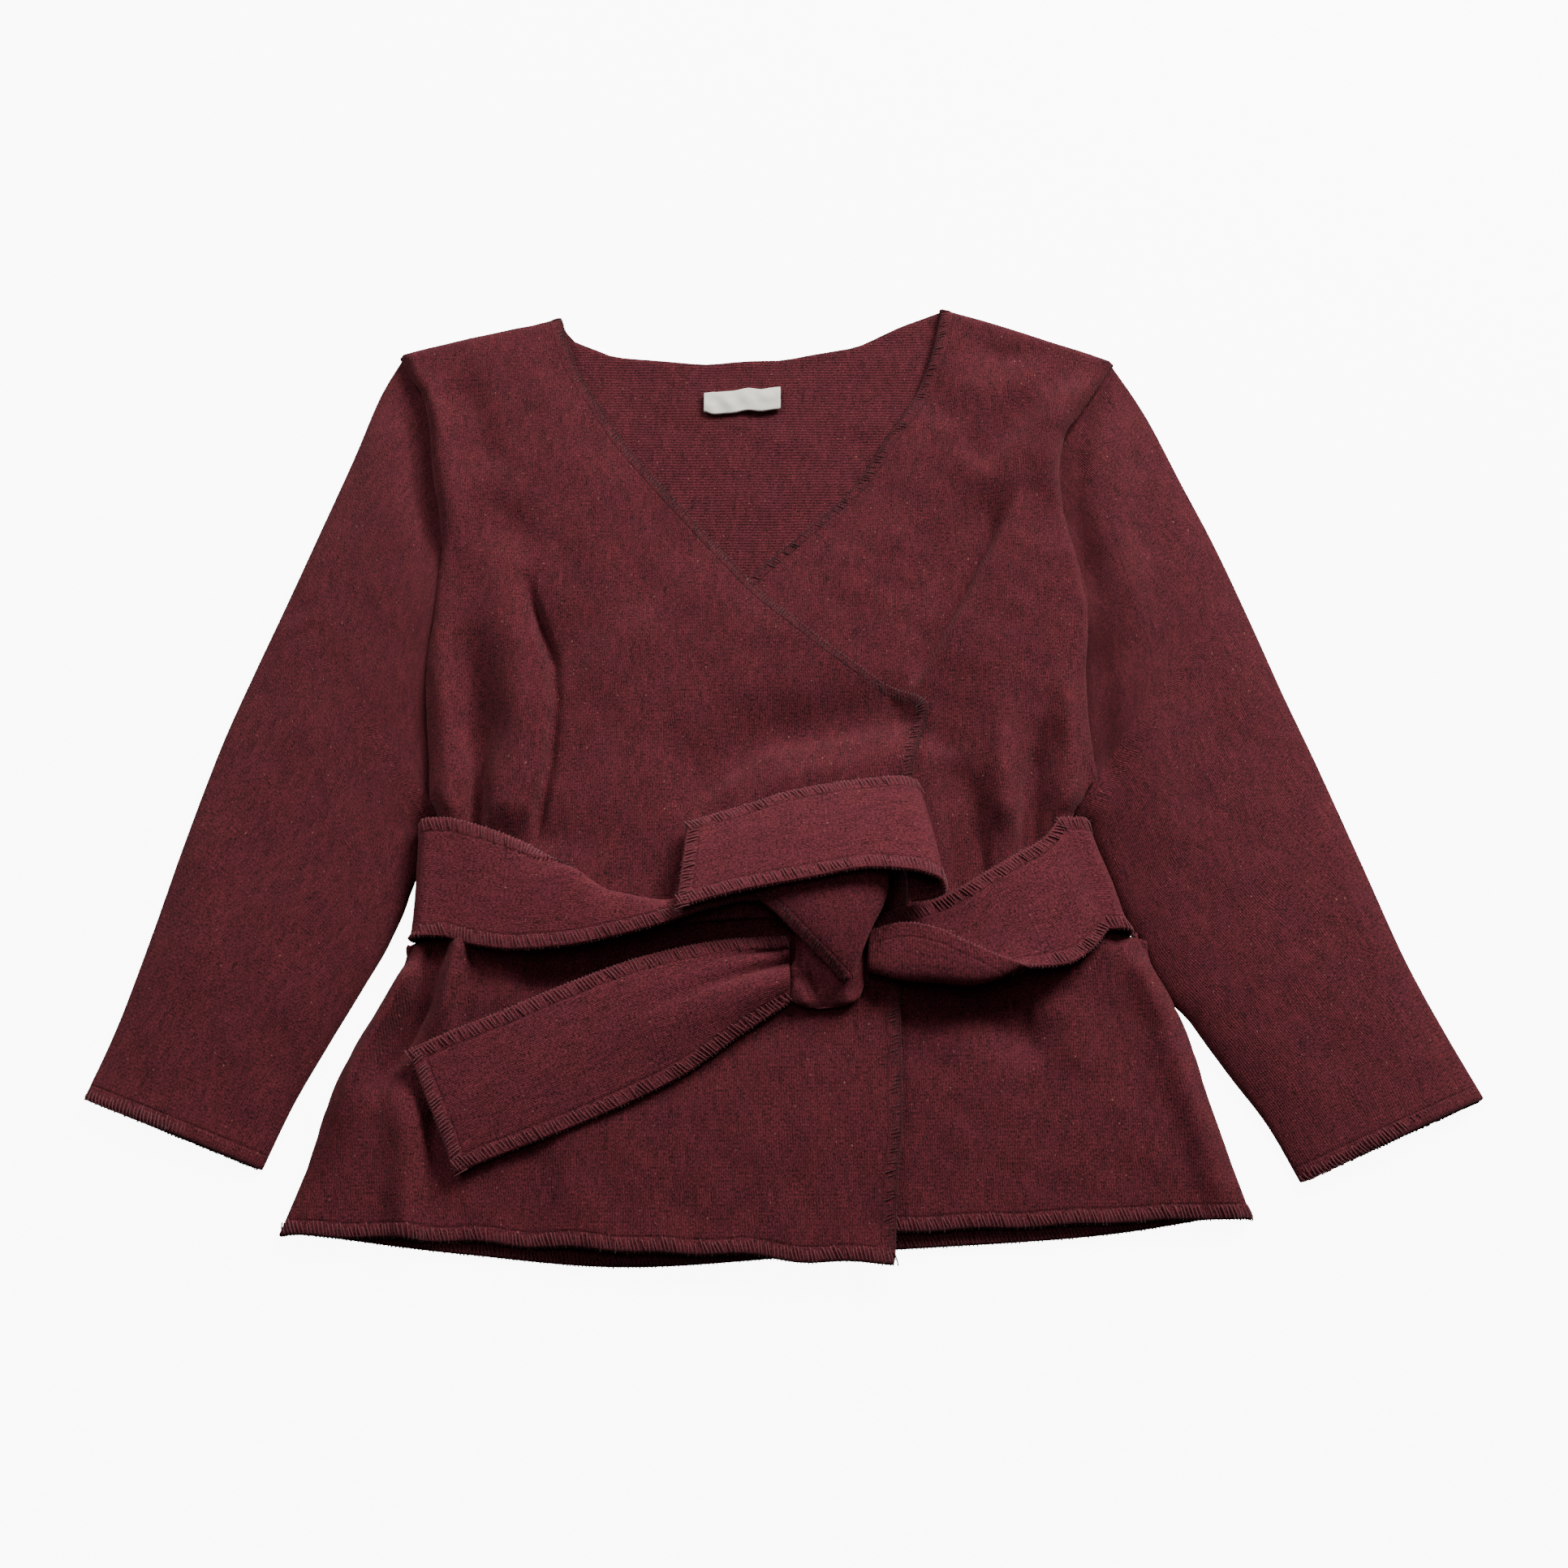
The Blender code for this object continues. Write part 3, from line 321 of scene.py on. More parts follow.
# Sections of the knot's wrapped body, from its neck side to its hem side.
#    y    left right  low  high
KNOT = (
    (-63, 5, 23, 13.6, 15.8),
    (-66.5, 4.4, 25, 12.4, 16.6),
    (-71, 3.8, 25.6, 11.6, 17.0),
    (-77, 3.8, 25.6, 11.0, 17.0),
    (-80.5, 2.2, 25.6, 10.8, 16.8),
    (-85, 1.9, 25.6, 10.8, 16.2),
    (-89.3, 2.1, 24.6, 10.8, 15.4),
    (-91.9, 3.4, 22, 11.0, 14.6),
    (-93.2, 6.5, 17, 12.0, 13.6),
)

Grid = np.ndarray
Colour = tuple[float, float, float]


def monotone(values: tuple, count: int) -> Grid:
    """Reads a column of a table smoothly at even places, with no overshoot.

    Args:
        values: the column.
        count: how many places to read it at.

    Returns:
        The values at those places.
    """
    values = np.asarray(values, float)
    rise = np.diff(values)
    slope = np.zeros(len(values))
    slope[0], slope[-1] = rise[0], rise[-1]
    same_way = rise[:-1] * rise[1:] > 0
    total = np.where(same_way, rise[:-1] + rise[1:], 1.0)
    slope[1:-1] = np.where(same_way, 2 * rise[:-1] * rise[1:] / total, 0.0)
    place = np.linspace(0, len(values) - 1, count)
    cell = np.minimum(place.astype(int), len(values) - 2)
    t = place - cell
    start, end = values[cell], values[cell + 1]
    return (
        start * (1 + 2 * t) * (1 - t) ** 2
        + slope[cell] * t * (1 - t) ** 2
        + end * t * t * (3 - 2 * t)
        + slope[cell + 1] * t * t * (t - 1)
    )


def read_table(table: tuple, count: int) -> Grid:
    """Every column of a table, read smoothly at count places along its rows."""
    return np.stack([monotone(column, count) for column in zip(*table)], axis=1)


def smooth_step(value: Grid, low: float, high: float) -> Grid:
    """0 below low, 1 above high and a smooth rise between them."""
    t = np.clip((value - low) / (high - low), 0, 1)
    return t * t * (3 - 2 * t)


def from_line(x: Grid, y: Grid, line: tuple) -> tuple[Grid, Grid]:
    """Distance of each point to a line of points.

    Args:
        x: the points' places across.
        y: the points' places up the garment.
        line: the points of the line.

    Returns:
        The distance, positive on the line's right, and how far along it, from 0 to 1.
    """
    line = np.asarray(line, float)
    lengths = np.hypot(*np.diff(line, axis=0).T)
    before = np.concatenate([[0], np.cumsum(lengths)])
    nearest = np.full(np.shape(x), np.inf)
    side = np.ones(np.shape(x))
    along = np.zeros(np.shape(x))
    for (x0, y0), (x1, y1), length, start in zip(line, line[1:], lengths, before):
        ux, uy = (x1 - x0) / length, (y1 - y0) / length
        t = np.clip((x - x0) * ux + (y - y0) * uy, 0, length)
        dx, dy = x - x0 - t * ux, y - y0 - t * uy
        distance = np.hypot(dx, dy)
        closer = distance < nearest
        nearest = np.where(closer, distance, nearest)
        side = np.where(closer, np.sign(dx * uy - dy * ux), side)
        along = np.where(closer, (start + t) / before[-1], along)
    return nearest * np.where(side == 0, 1, side), along


def unit(vectors: Grid) -> Grid:
    """Vectors of length 1."""
    return vectors / np.maximum(np.linalg.norm(vectors, axis=-1, keepdims=True), 1e-9)


def normals_of(grid: Grid) -> Grid:
    """The normal at each point of a grid of points."""
    return unit(np.cross(np.gradient(grid, axis=1), np.gradient(grid, axis=0)))


def crowded(count: int) -> Grid:
    """Shares from 0 to 1, closer together at both ends."""
    even = np.linspace(0, 1, count)
    return 0.45 * even + 0.55 * (0.5 - 0.5 * np.cos(math.pi * even))


def ripple(x: Grid, y: Grid, size: float, seed: int) -> Grid:
    """Soft unevenness of laid cloth.

    Args:
        x: places across.
        y: places along.
        size: the usual length of a wave, in millimetres.
        seed: picks the waves.

    Returns:
        A height of about -1 to 1 at each place.
    """
    waves = 7
    random = np.random.default_rng(seed)
    total = np.zeros(np.shape(x))
    for _ in range(waves):
        angle, phase = random.uniform(0, 2 * math.pi, 2)
        pace = 2 * math.pi / (size * random.uniform(0.7, 1.6))
        total += np.sin((x * math.cos(angle) + y * math.sin(angle)) * pace + phase)
    return total / math.sqrt(waves)


def travelled(grid: Grid, axis: int) -> Grid:
    """Length along a grid's lines from their first point to each point."""
    steps = np.linalg.norm(np.diff(grid, axis=axis), axis=-1)
    zero = np.zeros_like(np.take(steps, [0], axis=axis))
    return np.concatenate([zero, np.cumsum(steps, axis=axis)], axis=axis)


class Side(Enum):
    """The sides of a grid of points."""

    HEM = "its first row"
    TOP = "its last row"
    LEFT = "its first column"
    RIGHT = "its last column"


class Face(Enum):
    """The two faces of knitted cloth."""

    RIGHT = "upright legs of stitches"
    WRONG = "bumps across"


class Wire:
    """A socket of a node tree, on which arithmetic adds Math nodes."""

    def __init__(self, board: "Board", socket: bpy.types.NodeSocket) -> None:
        """Keeps the socket and the tree that it belongs to."""
        self.board = board
        self.socket = socket

    def combine(self, operation: str, *values: "Wire | float") -> "Wire":
        """The result of a Math node on some values."""
        sockets = dict(enumerate(values))
        return self.board.node("ShaderNodeMath", {"operation": operation}, sockets)

    def __add__(self, other: "Wire | float") -> "Wire":
        """The sum with another value."""
        return self.combine("ADD", self, other)

    def __radd__(self, other: float) -> "Wire":
        """The sum with a number on the left."""
        return self.combine("ADD", other, self)

    def __sub__(self, other: "Wire | float") -> "Wire":
        """The difference from another value."""
        return self.combine("SUBTRACT", self, other)

    def __rsub__(self, other: float) -> "Wire":
        """A number less this value."""
        return self.combine("SUBTRACT", other, self)

    def __mul__(self, other: "Wire | float") -> "Wire":
        """The product with another value."""
        return self.combine("MULTIPLY", self, other)

    def __truediv__(self, other: "Wire | float") -> "Wire":
        """The quotient by another value."""
        return self.combine("DIVIDE", self, other)

    def __pow__(self, other: float) -> "Wire":
        """A power of this value."""
        return self.combine("POWER", self, other)

    def __abs__(self) -> "Wire":
        """The size of this value without its sign."""
        return self.combine("ABSOLUTE", self)

    def sine(self) -> "Wire":
        """The sine of this value."""
        return self.combine("SINE", self)

    def part(self) -> "Wire":
        """What is left of this value above its whole number."""
        return self.combine("FRACT", self)

    def whole(self) -> "Wire":
        """The whole number below this value."""
        return self.combine("FLOOR", self)

    def between(self, low: float, high: float) -> "Wire":
        """0 below low, 1 above high and a smooth rise between them."""
        settings = {"interpolation_type": "SMOOTHSTEP"}
        return self.board.node("ShaderNodeMapRange", settings, {0: self, 1: low, 2: high})

    def bell(self, middle: float, width: float) -> "Wire":
        """1 at the middle, falling to both sides over a width."""
        return self.combine("EXPONENT", ((self - middle) / width) ** 2 * -1.0)


class Board:
    """A node tree that is built by calls."""

    def __init__(self, tree: bpy.types.NodeTree) -> None:
        """Keeps the tree."""
        self.tree = tree

    def node(self, kind: str, settings: dict, sockets: dict, output: int | str = 0) -> Wire:
        """Adds a node, sets it and links it.

        Args:
            kind: the node's type.
            settings: its properties, and "stops" for a ramp's places and colours.
            sockets: a value or a Wire for each input, by name or number.
            output: which output to hand back.

        Returns:
            That output.
        """
        made = self.tree.nodes.new(kind)
        for key, value in settings.items():
            if key == "stops":
                self.set_stops(made.color_ramp, value)
            else:
                setattr(made, key, value)
        for key, value in sockets.items():
            if isinstance(value, Wire):
                self.tree.links.new(value.socket, made.inputs[key])
            else:
                made.inputs[key].default_value = value
        return Wire(self, made.outputs[output])

    @staticmethod
    def set_stops(ramp: bpy.types.ColorRamp, stops: tuple) -> None:
        """Gives a ramp its places and colours."""
        while len(ramp.elements) < len(stops):
            ramp.elements.new(0.5)
        for element, (place, colour) in zip(ramp.elements, stops):
            element.position = place
            element.color = (*colour, 1.0)

    def mix(self, share: Wire | float, first: Wire | Colour, second: Wire | Colour,
            blend: str = "MIX") -> Wire:
        """Two colours mixed.

        Args:
            share: how much of the second there is.
            first: a colour.
            second: another colour.
            blend: the way of mixing.

        Returns:
            The mixed colour.
        """
        colours = [c if isinstance(c, Wire) else (*c, 1.0) for c in (first, second)]
        settings = {"data_type": "RGBA", "blend_type": blend}
        return self.node("ShaderNodeMix", settings, {0: share, 6: colours[0], 7: colours[1]}, 2)

    def cloth_map(self) -> tuple[Wire, Wire, Wire]:
        """The place on the UV map "cloth": as a vector, across and along."""
        uv = self.node("ShaderNodeUVMap", {"uv_map": "cloth"}, {})
        across = self.node("ShaderNodeSeparateXYZ", {}, {0: uv}, 0)
        return uv, across, Wire(self, across.socket.node.outputs[1])

    def dress(self, shader: bpy.types.Node, colour: Wire, height: Wire, depth: float,
              strength: float) -> None:
        """Gives a shader its colour and the relief of a height.

        Args:
            shader: the main shader node.
            colour: its base colour.
            height: the height, as a number.
            depth: the depth of a height of 1, in millimetres.
            strength: how strongly the relief shows.
        """
        sockets = {"Strength": strength, "Distance": depth * MM, "Height": height}
        bump = self.node("ShaderNodeBump", {}, sockets)
        self.tree.links.new(colour.socket, shader.inputs["Base Color"])
        self.tree.links.new(bump.socket, shader.inputs["Normal"])

    def grey(self, value: Wire) -> Wire:
        """A number as a grey colour."""
        return self.node("ShaderNodeCombineColor", {}, {0: value, 1: value, 2: value})

    def stretched(self, across: Wire, along: Wire, third: Wire | float = 0.0) -> Wire:
        """A vector from three numbers."""
        return self.node("ShaderNodeCombineXYZ", {}, {0: across, 1: along, 2: third})

    def noise(self, place: Wire, scale: float, detail: float = 2.0) -> Wire:
        """Noise from 0 to 1 at a place."""
        sockets = {"Vector": place, "Scale": scale, "Detail": detail}
        return self.node("ShaderNodeTexNoise", {"normalize": True}, sockets)


def new_material(name: str) -> tuple[bpy.types.Material, Board, bpy.types.Node]:
    """A material with its board and its main shader node."""
    made = bpy.data.materials.new(name)
    made.use_nodes = True
    return made, Board(made.node_tree), made.node_tree.nodes["Principled BSDF"]


def set_shader(shader: bpy.types.Node, **values: float | tuple) -> None:
    """Sets sockets of a shader that are the same all over, named with _ for a space."""
    for key, value in values.items():
        shader.inputs[key.replace("_", " ")].default_value = value


@dataclass(frozen=True)
class Knit:
    """Fine heathered stockinette in one colour of yarn.

    Lengths are in millimetres, on the piece's own UV map.
    """

    name: str
    yarn: Colour
    face: Face = Face.RIGHT
    wale: float = 1.5
    course: float = 1.05
    relief: float = 0.2
    fleck: Colour = (0.42, 0.17, 0.12)
    sheen: float = 0.1
    band: float = 4.1
    # groove_and_shade: depth of the needle line's groove in the relief, and how much its colour is
    # darkened as painted shade
    groove_and_shade: float = 0.2
    trim: float = 1.0
    # rim: how much the colour darkens at the very cut edges, partly a darker cut edge and partly
    # painted shade where the edge turns down to the layer below
    rim: float = 0.45
    drift: float = 5.0
    slub: float = 1.1
    fuzz: float = 3.4
    lightness: float = 1.28
    fleck_share: float = 0.4
    dark: Colour = (0.95, 0.93, 1.04)
    light: Colour = (1.05, 1.06, 0.98)

    def build(self) -> bpy.types.Material:
        """Makes the material.

        Returns:
            A material that reads the UV map "cloth" and the attribute "edge".
        """
        made, board, shader = new_material(self.name)
        uv, across, along = board.cloth_map()
        edge = board.node("ShaderNodeAttribute", {"attribute_name": "edge"}, {}, "Fac")
        drift = board.noise(uv, 0.045, 2.0)
        across = across + (drift - 0.5) * self.drift
        stitches = self.stitches(across, along)
        slub = board.noise(board.stretched((across / self.wale).whole() * 3.7, along * 0.16), 1.0)
        fuzz = board.noise(board.stretched(across * 1.9, along * 1.2), 1.0, 3.0)
        blotch = board.noise(uv, 0.09, 3.0)
        flecks = board.noise(board.stretched(across * 1.1, along * 0.8, 7.0), 1.0, 0.0)
        # needle: the overlock's needle line, sunk in the relief and darkened in colour as painted
        # shade
        needle = edge.bell(self.band + 0.25, 0.45)
        seam = 1.0 - edge.between(self.band - 0.6, self.band + 0.2)
        tone = 0.5 + stitches * 0.45 + (slub - 0.5) * self.slub + (fuzz - 0.5) * self.fuzz
        # painted shade: the colour darkens along the needle line's groove, and at the very cut
        # edges where they turn down to the layer below, there partly a darker cut edge too
        tone = (tone + 0.12) * (1.0 - needle * self.groove_and_shade) * (1.0 - edge.bell(0.0, 0.8) * self.rim)
        dark, light = (
            tuple(c * k for c, k in zip(self.yarn, tint)) for tint in (self.dark, self.light)
        )
        colour = board.mix(blotch.between(0.3, 0.7), dark, light)
        colour = board.mix(seam * 0.3, colour, tuple(c * self.trim for c in self.yarn))
        colour = board.mix(1.0, colour, board.grey(tone * self.lightness), "MULTIPLY")
        colour = board.mix(flecks.between(0.8, 0.86) * self.fleck_share, colour, self.fleck)
        height = stitches * 0.6 + fuzz * 0.5 + slub * 0.25 - needle * self.groove_and_shade * 4.0
        board.dress(shader, colour, height, self.relief, 1.0)
        set_shader(shader, Roughness=0.93, Specular_IOR_Level=0.18)
        set_shader(shader, Sheen_Weight=self.sheen, Sheen_Roughness=0.55)
        set_shader(shader, Sheen_Tint=(0.95, 0.4, 0.4, 1.0))
        return made

    def stitches(self, across: Wire, along: Wire) -> Wire:
        """Height of the knitted stitches, from 0 to 1.

        Args:
            across: place across the wales.
            along: place along them.

        Returns:
            The two legs of each stitch on the right side, or the bumps on the wrong one.
        """
        half = abs((across / self.wale).part() - 0.5) * 2.0
        turn = 2 * math.pi
        if self.face is Face.WRONG:
            return 0.5 + (along * (turn / self.course) + (half * math.pi).sine() * 1.6).sine() * 0.5
        leg = 1.0 - (half * 2.0 - 1.0) ** 2
        plait = 0.5 + ((along * (1 / self.course) - half * 0.55) * turn).sine() * 0.5
        return leg * (0.55 + plait * 0.45)


@dataclass(frozen=True)
class Thread:
    """Woolly sewing thread."""

    name: str
    colour: Colour
    grain: float = 2600.0

    def build(self) -> bpy.types.Material:
        """Makes the material, on Object coordinates."""
        made, board, shader = new_material(self.name)
        place = board.node("ShaderNodeTexCoord", {}, {}, "Object")
        fuzz = board.noise(place, self.grain, 2.0)
        tint = board.noise(place, 260.0, 2.0)
        tone = 0.55 + fuzz * 0.6 + tint * 0.3
        colour = board.mix(1.0, self.colour, board.grey(tone), "MULTIPLY")
        board.dress(shader, colour, fuzz, 0.1, 0.8)
        set_shader(shader, Roughness=0.85, Specular_IOR_Level=0.25, Sheen_Weight=0.2)
        return made


@dataclass(frozen=True)
class WovenTape:
    """Plain woven tape of a neck label."""

    name: str
    colour: Colour
    yarn: float = 0.34

    def build(self) -> bpy.types.Material:
        """Makes the material, a fine plain weave on the UV map."""
        made, board, shader = new_material(self.name)
        uv, across, along = board.cloth_map()
        pace = math.pi / self.yarn
        weave = (across * pace).sine() * (along * pace).sine()
        soil = board.noise(uv, 0.5, 3.0)
        tone = 0.86 + weave * 0.05 + soil * 0.16
        colour = board.mix(1.0, self.colour, board.grey(tone), "MULTIPLY")
        height = weave + soil * 1.5
        board.dress(shader, colour, height, 0.08, 0.6)
        set_shader(shader, Roughness=0.7, Specular_IOR_Level=0.3, Sheen_Weight=0.15)
        return made


@dataclass(frozen=True)
class Paper:
    """The plain pale floor."""

    name: str = "floor"
    colour: Colour = (0.93, 0.93, 0.93)
    glow: float = 9.0

    def build(self) -> bpy.types.Material:
        """Makes the material, with the faintest unevenness."""
        made, board, shader = new_material(self.name)
        place = board.node("ShaderNodeTexCoord", {}, {}, "Object")
        tone = 0.995 + board.noise(place, 40.0) * 0.01
        colour = board.mix(1.0, self.colour, board.grey(tone), "MULTIPLY")
        board.tree.links.new(colour.socket, shader.inputs["Base Color"])
        set_shader(shader, Roughness=0.9, Specular_IOR_Level=0.1)
        set_shader(shader, Emission_Color=(1.0, 1.0, 1.0, 1.0), Emission_Strength=self.glow)
        return made


WINE = (0.070, 0.0100, 0.0146)
# The belt's yarn: the body's wine painted lighter and pinker, a painted highlight for the raised
# belt that faces the light.
WINE_BELT_LIT = (0.088, 0.0136, 0.0196)
KNIT = Knit("wine_knit", WINE)
KNIT_INSIDE = Knit("wine_knit_inside", WINE, Face.WRONG)
BELT_KNIT = Knit("belt_knit", WINE_BELT_LIT, wale=1.0, course=0.8, trim=1.2, rim=0.0)
BELT_INSIDE = Knit("belt_knit_inside", WINE_BELT_LIT, Face.WRONG, wale=1.0, course=0.8, rim=0.0)
SEWING = Thread("wine_thread", (0.112, 0.0175, 0.0245))
FINE_SEWING = Thread("fine_wine_thread", (0.042, 0.0060, 0.0086))
LABEL_TAPE = WovenTape("label_tape", (0.96, 0.92, 0.82))


class Wardrobe:
    """Makes each finish once."""

    def __init__(self) -> None:
        """Starts with none made."""
        self.made: dict[str, bpy.types.Material] = {}

    def get(self, finish: Knit | Thread | WovenTape | Paper) -> bpy.types.Material:
        """The material of a finish."""
        if finish.name not in self.made:
            self.made[finish.name] = finish.build()
        return self.made[finish.name]


WARDROBE = Wardrobe()


def add(name: str, data: bpy.types.ID) -> bpy.types.Object:
    """A new object in the scene."""
    made = bpy.data.objects.new(name, data)
    bpy.context.scene.collection.objects.link(made)
    return made


def new_mesh(name: str, points: Grid, edges: list, faces: list) -> bpy.types.Mesh:
    """A mesh from points in millimetres."""
    made = bpy.data.meshes.new(name)
    made.from_pydata((points * MM).tolist(), edges, faces)
    return made


def link(name: str, mesh: bpy.types.Mesh, *finishes: Knit | Thread | WovenTape | Paper
         ) -> bpy.types.Object:
    """Links a mesh as a piece with its finishes."""
    for finish in finishes:
        mesh.materials.append(WARDROBE.get(finish))
    return add(name, mesh)


@dataclass
class Wall:
    """A closed wall of cloth between two grids of points.

    Columns run across the piece and rows along it, so that the cloth faces out of the
    outer grid when its columns are turned towards its rows. A round wall's last column
    joins its first, and its UV grid has one column more.
    """

    outer: Grid
    inner: Grid
    cloth: Grid
    sewn: tuple[Side, ...] = ()
    round: bool = False
    bulge: float = 0.55

    RIM_ANGLES = (35, 90, 145)

    @property
    def edge(self) -> Grid:
        """Distance of each point to the nearest sewn edge, along the grid's lines."""
        rows, columns = travelled(self.outer, 0), travelled(self.outer, 1)
        reach = {
            Side.HEM: rows,
            Side.TOP: rows[-1:] - rows,
            Side.LEFT: columns,
            Side.RIGHT: columns[:, -1:] - columns,
        }
        far = np.full(rows.shape, 99.0)
        return np.minimum.reduce([far] + [reach[side] for side in self.sewn])

    def loops(self) -> list[list[tuple[int, int]]]:
        """The places of each open boundary, with the cloth on its left."""
        rows, columns = self.outer.shape[:2]
        if self.round:
            first = [(0, c) for c in range(columns)]
            last = [(rows - 1, (-c) % columns) for c in range(columns)]
            return [first, last]
        rim = [(0, c) for c in range(columns)]
        rim += [(row, columns - 1) for row in range(1, rows)]
        rim += [(rows - 1, c) for c in range(columns - 2, -1, -1)]
        rim += [(row, 0) for row in range(rows - 2, 0, -1)]
        return [rim]

    def outward(self, places: Grid) -> Grid:
        """Directions out of the cloth at boundary places, in its own surface."""
        rows, columns = self.outer.shape[:2]
        middle = (self.outer + self.inner) / 2
        r, c = places[:, 0], places[:, 1]
        inside = (np.clip(r, 1, rows - 2), c if self.round else np.clip(c, 1, columns - 2))
        return unit(middle[r, c] - middle[inside])

    def mesh(self, name: str) -> bpy.types.Mesh:
        """Makes the closed mesh, with rounded rims.

        Args:
            name: the mesh's name.

        Returns:
            A mesh whose outer faces have the first material and inner ones the second.
        """
        rows, columns = self.outer.shape[:2]
        count = rows * columns
        index = np.arange(count).reshape(rows, columns)
        if self.round:
            index = np.concatenate([index, index[:, :1]], axis=1)
        points = [self.outer.reshape(-1, 3), self.inner.reshape(-1, 3)]
        edges = [self.edge.ravel()] * 2
        quads = self.quads(index)
        faces = [quads, quads[:, ::-1] + count]
        cells = self.quads(np.arange(self.cloth[..., 0].size).reshape(self.cloth.shape[:2]))
        flat = self.cloth.reshape(-1, 2)
        places = [flat[cells], flat[cells[:, ::-1]]]
        total = 2 * count
        for loop in self.loops():
            at = np.array(loop)
            r, c = at[:, 0], at[:, 1]
            half = (self.outer[r, c] - self.inner[r, c]) / 2
            middle = (self.outer[r, c] + self.inner[r, c]) / 2
            out = self.outward(at)
            rings = [index[r, c]]
            for angle in map(math.radians, self.RIM_ANGLES):
                points.append(middle + half * math.cos(angle) + out * self.bulge * math.sin(angle))
                edges.append(edges[0][index[r, c]])
                rings.append(total + np.arange(len(at)))
                total += len(at)
            rings.append(index[r, c] + count)
            here = self.cloth[r, c]
            there = np.roll(here, -1, axis=0)
            for step, (near, far) in enumerate(zip(rings, rings[1:])):
                faces.append(np.stack([np.roll(near, -1), near, far, np.roll(far, -1)], axis=1))
                slip = 0.5 * step
                corners = [there + slip, here + slip, here + slip + 0.5, there + slip + 0.5]
                places.append(np.stack(corners, axis=1))
        made = new_mesh(name, np.concatenate(points), [], np.concatenate(faces).tolist())
        made.uv_layers.new(name="cloth")
        made.uv_layers["cloth"].data.foreach_set("uv", np.concatenate(places).ravel())
        made.attributes.new("edge", "FLOAT", "POINT")
        made.attributes["edge"].data.foreach_set("value", np.concatenate(edges))
        inner = np.zeros(len(made.polygons), dtype=np.int32)
        inner[len(quads) : 2 * len(quads)] = 1
        made.polygons.foreach_set("material_index", inner)
        made.shade_smooth()
        return made

    @staticmethod
    def quads(index: Grid) -> Grid:
        """The faces of a grid of indices."""
        corners = [index[:-1, :-1], index[:-1, 1:], index[1:, 1:], index[1:, :-1]]
        return np.stack(corners, axis=-1).reshape(-1, 4)

    def path(self, side: Side) -> tuple[Grid, Grid]:
        """An edge's line in the middle of the wall, with the cloth on its left.

        Args:
            side: which edge.

        Returns:
            The line's points and the directions out of the outer face.
        """
        slices = {
            Side.HEM: np.s_[0, :],
            Side.TOP: np.s_[-1, ::-1],
            Side.LEFT: np.s_[::-1, 0],
            Side.RIGHT: np.s_[:, -1],
        }
        outer, inner = self.outer[slices[side]], self.inner[slices[side]]
        return (outer + inner) / 2, unit(outer - inner)


@dataclass(frozen=True)
class Stitch:
    """One slanted thread of an overlocked edge, from its needle line over the edge."""

    name: str
    finish: Thread
    band: float = 4.0
    slant: float = 1.3
    thread: float = 0.22
    pitch: float = 1.2
    proud: float = 0.03
    sides: int = 5

    def spine(self) -> Grid:
        """The thread's line: x along the edge, y into the cloth and z out of its face."""
        half = CLOTH / 2
        top = half + self.proud
        return np.array([
            (0.0, self.band, half - 0.35),
            (0.1 * self.slant, self.band * 0.9, top - 0.06),
            (0.42 * self.slant, self.band * 0.52, top + 0.06),
            (0.8 * self.slant, self.band * 0.14, top),
            (0.98 * self.slant, -0.6, 0.35),
            (1.0 * self.slant, -0.62, -0.35),
            (0.9 * self.slant, 0.5, -top),
        ])

    def mesh(self) -> bpy.types.Mesh:
        """The thread as a thin tube of a few dozen faces."""
        spine = self.spine()
        heading = unit(np.gradient(spine, axis=0))
        first = unit(np.cross(heading, (1.0, 0.0, 0.0)))
        second = np.cross(heading, first)
        angle = np.linspace(0, 2 * math.pi, self.sides, endpoint=False)[None, :, None]
        width = self.thread * np.array([0.6, 1, 1.1, 1.05, 1, 0.9, 0.5])[:, None, None]
        rings = spine[:, None] + width * (
            np.cos(angle) * first[:, None] + np.sin(angle) * second[:, None]
        )
        rows = len(spine)
        index = np.arange(rows * self.sides).reshape(rows, self.sides)
        faces = Wall.quads(np.concatenate([index, index[:, :1]], axis=1)).tolist()
        faces += [index[0, ::-1].tolist(), index[-1].tolist()]
        made = new_mesh(self.name, rings.reshape(-1, 3), [], faces)
        closed = bmesh.new()
        closed.from_mesh(made)
        bmesh.ops.recalc_face_normals(closed, faces=closed.faces)
        closed.to_mesh(made)
        closed.free()
        made.shade_smooth()
        return made


OVERLOCK = Stitch("overlock", SEWING)
FINE_OVERLOCK = Stitch("fine_overlock", FINE_SEWING, band=3.4, thread=0.15, proud=-0.04)


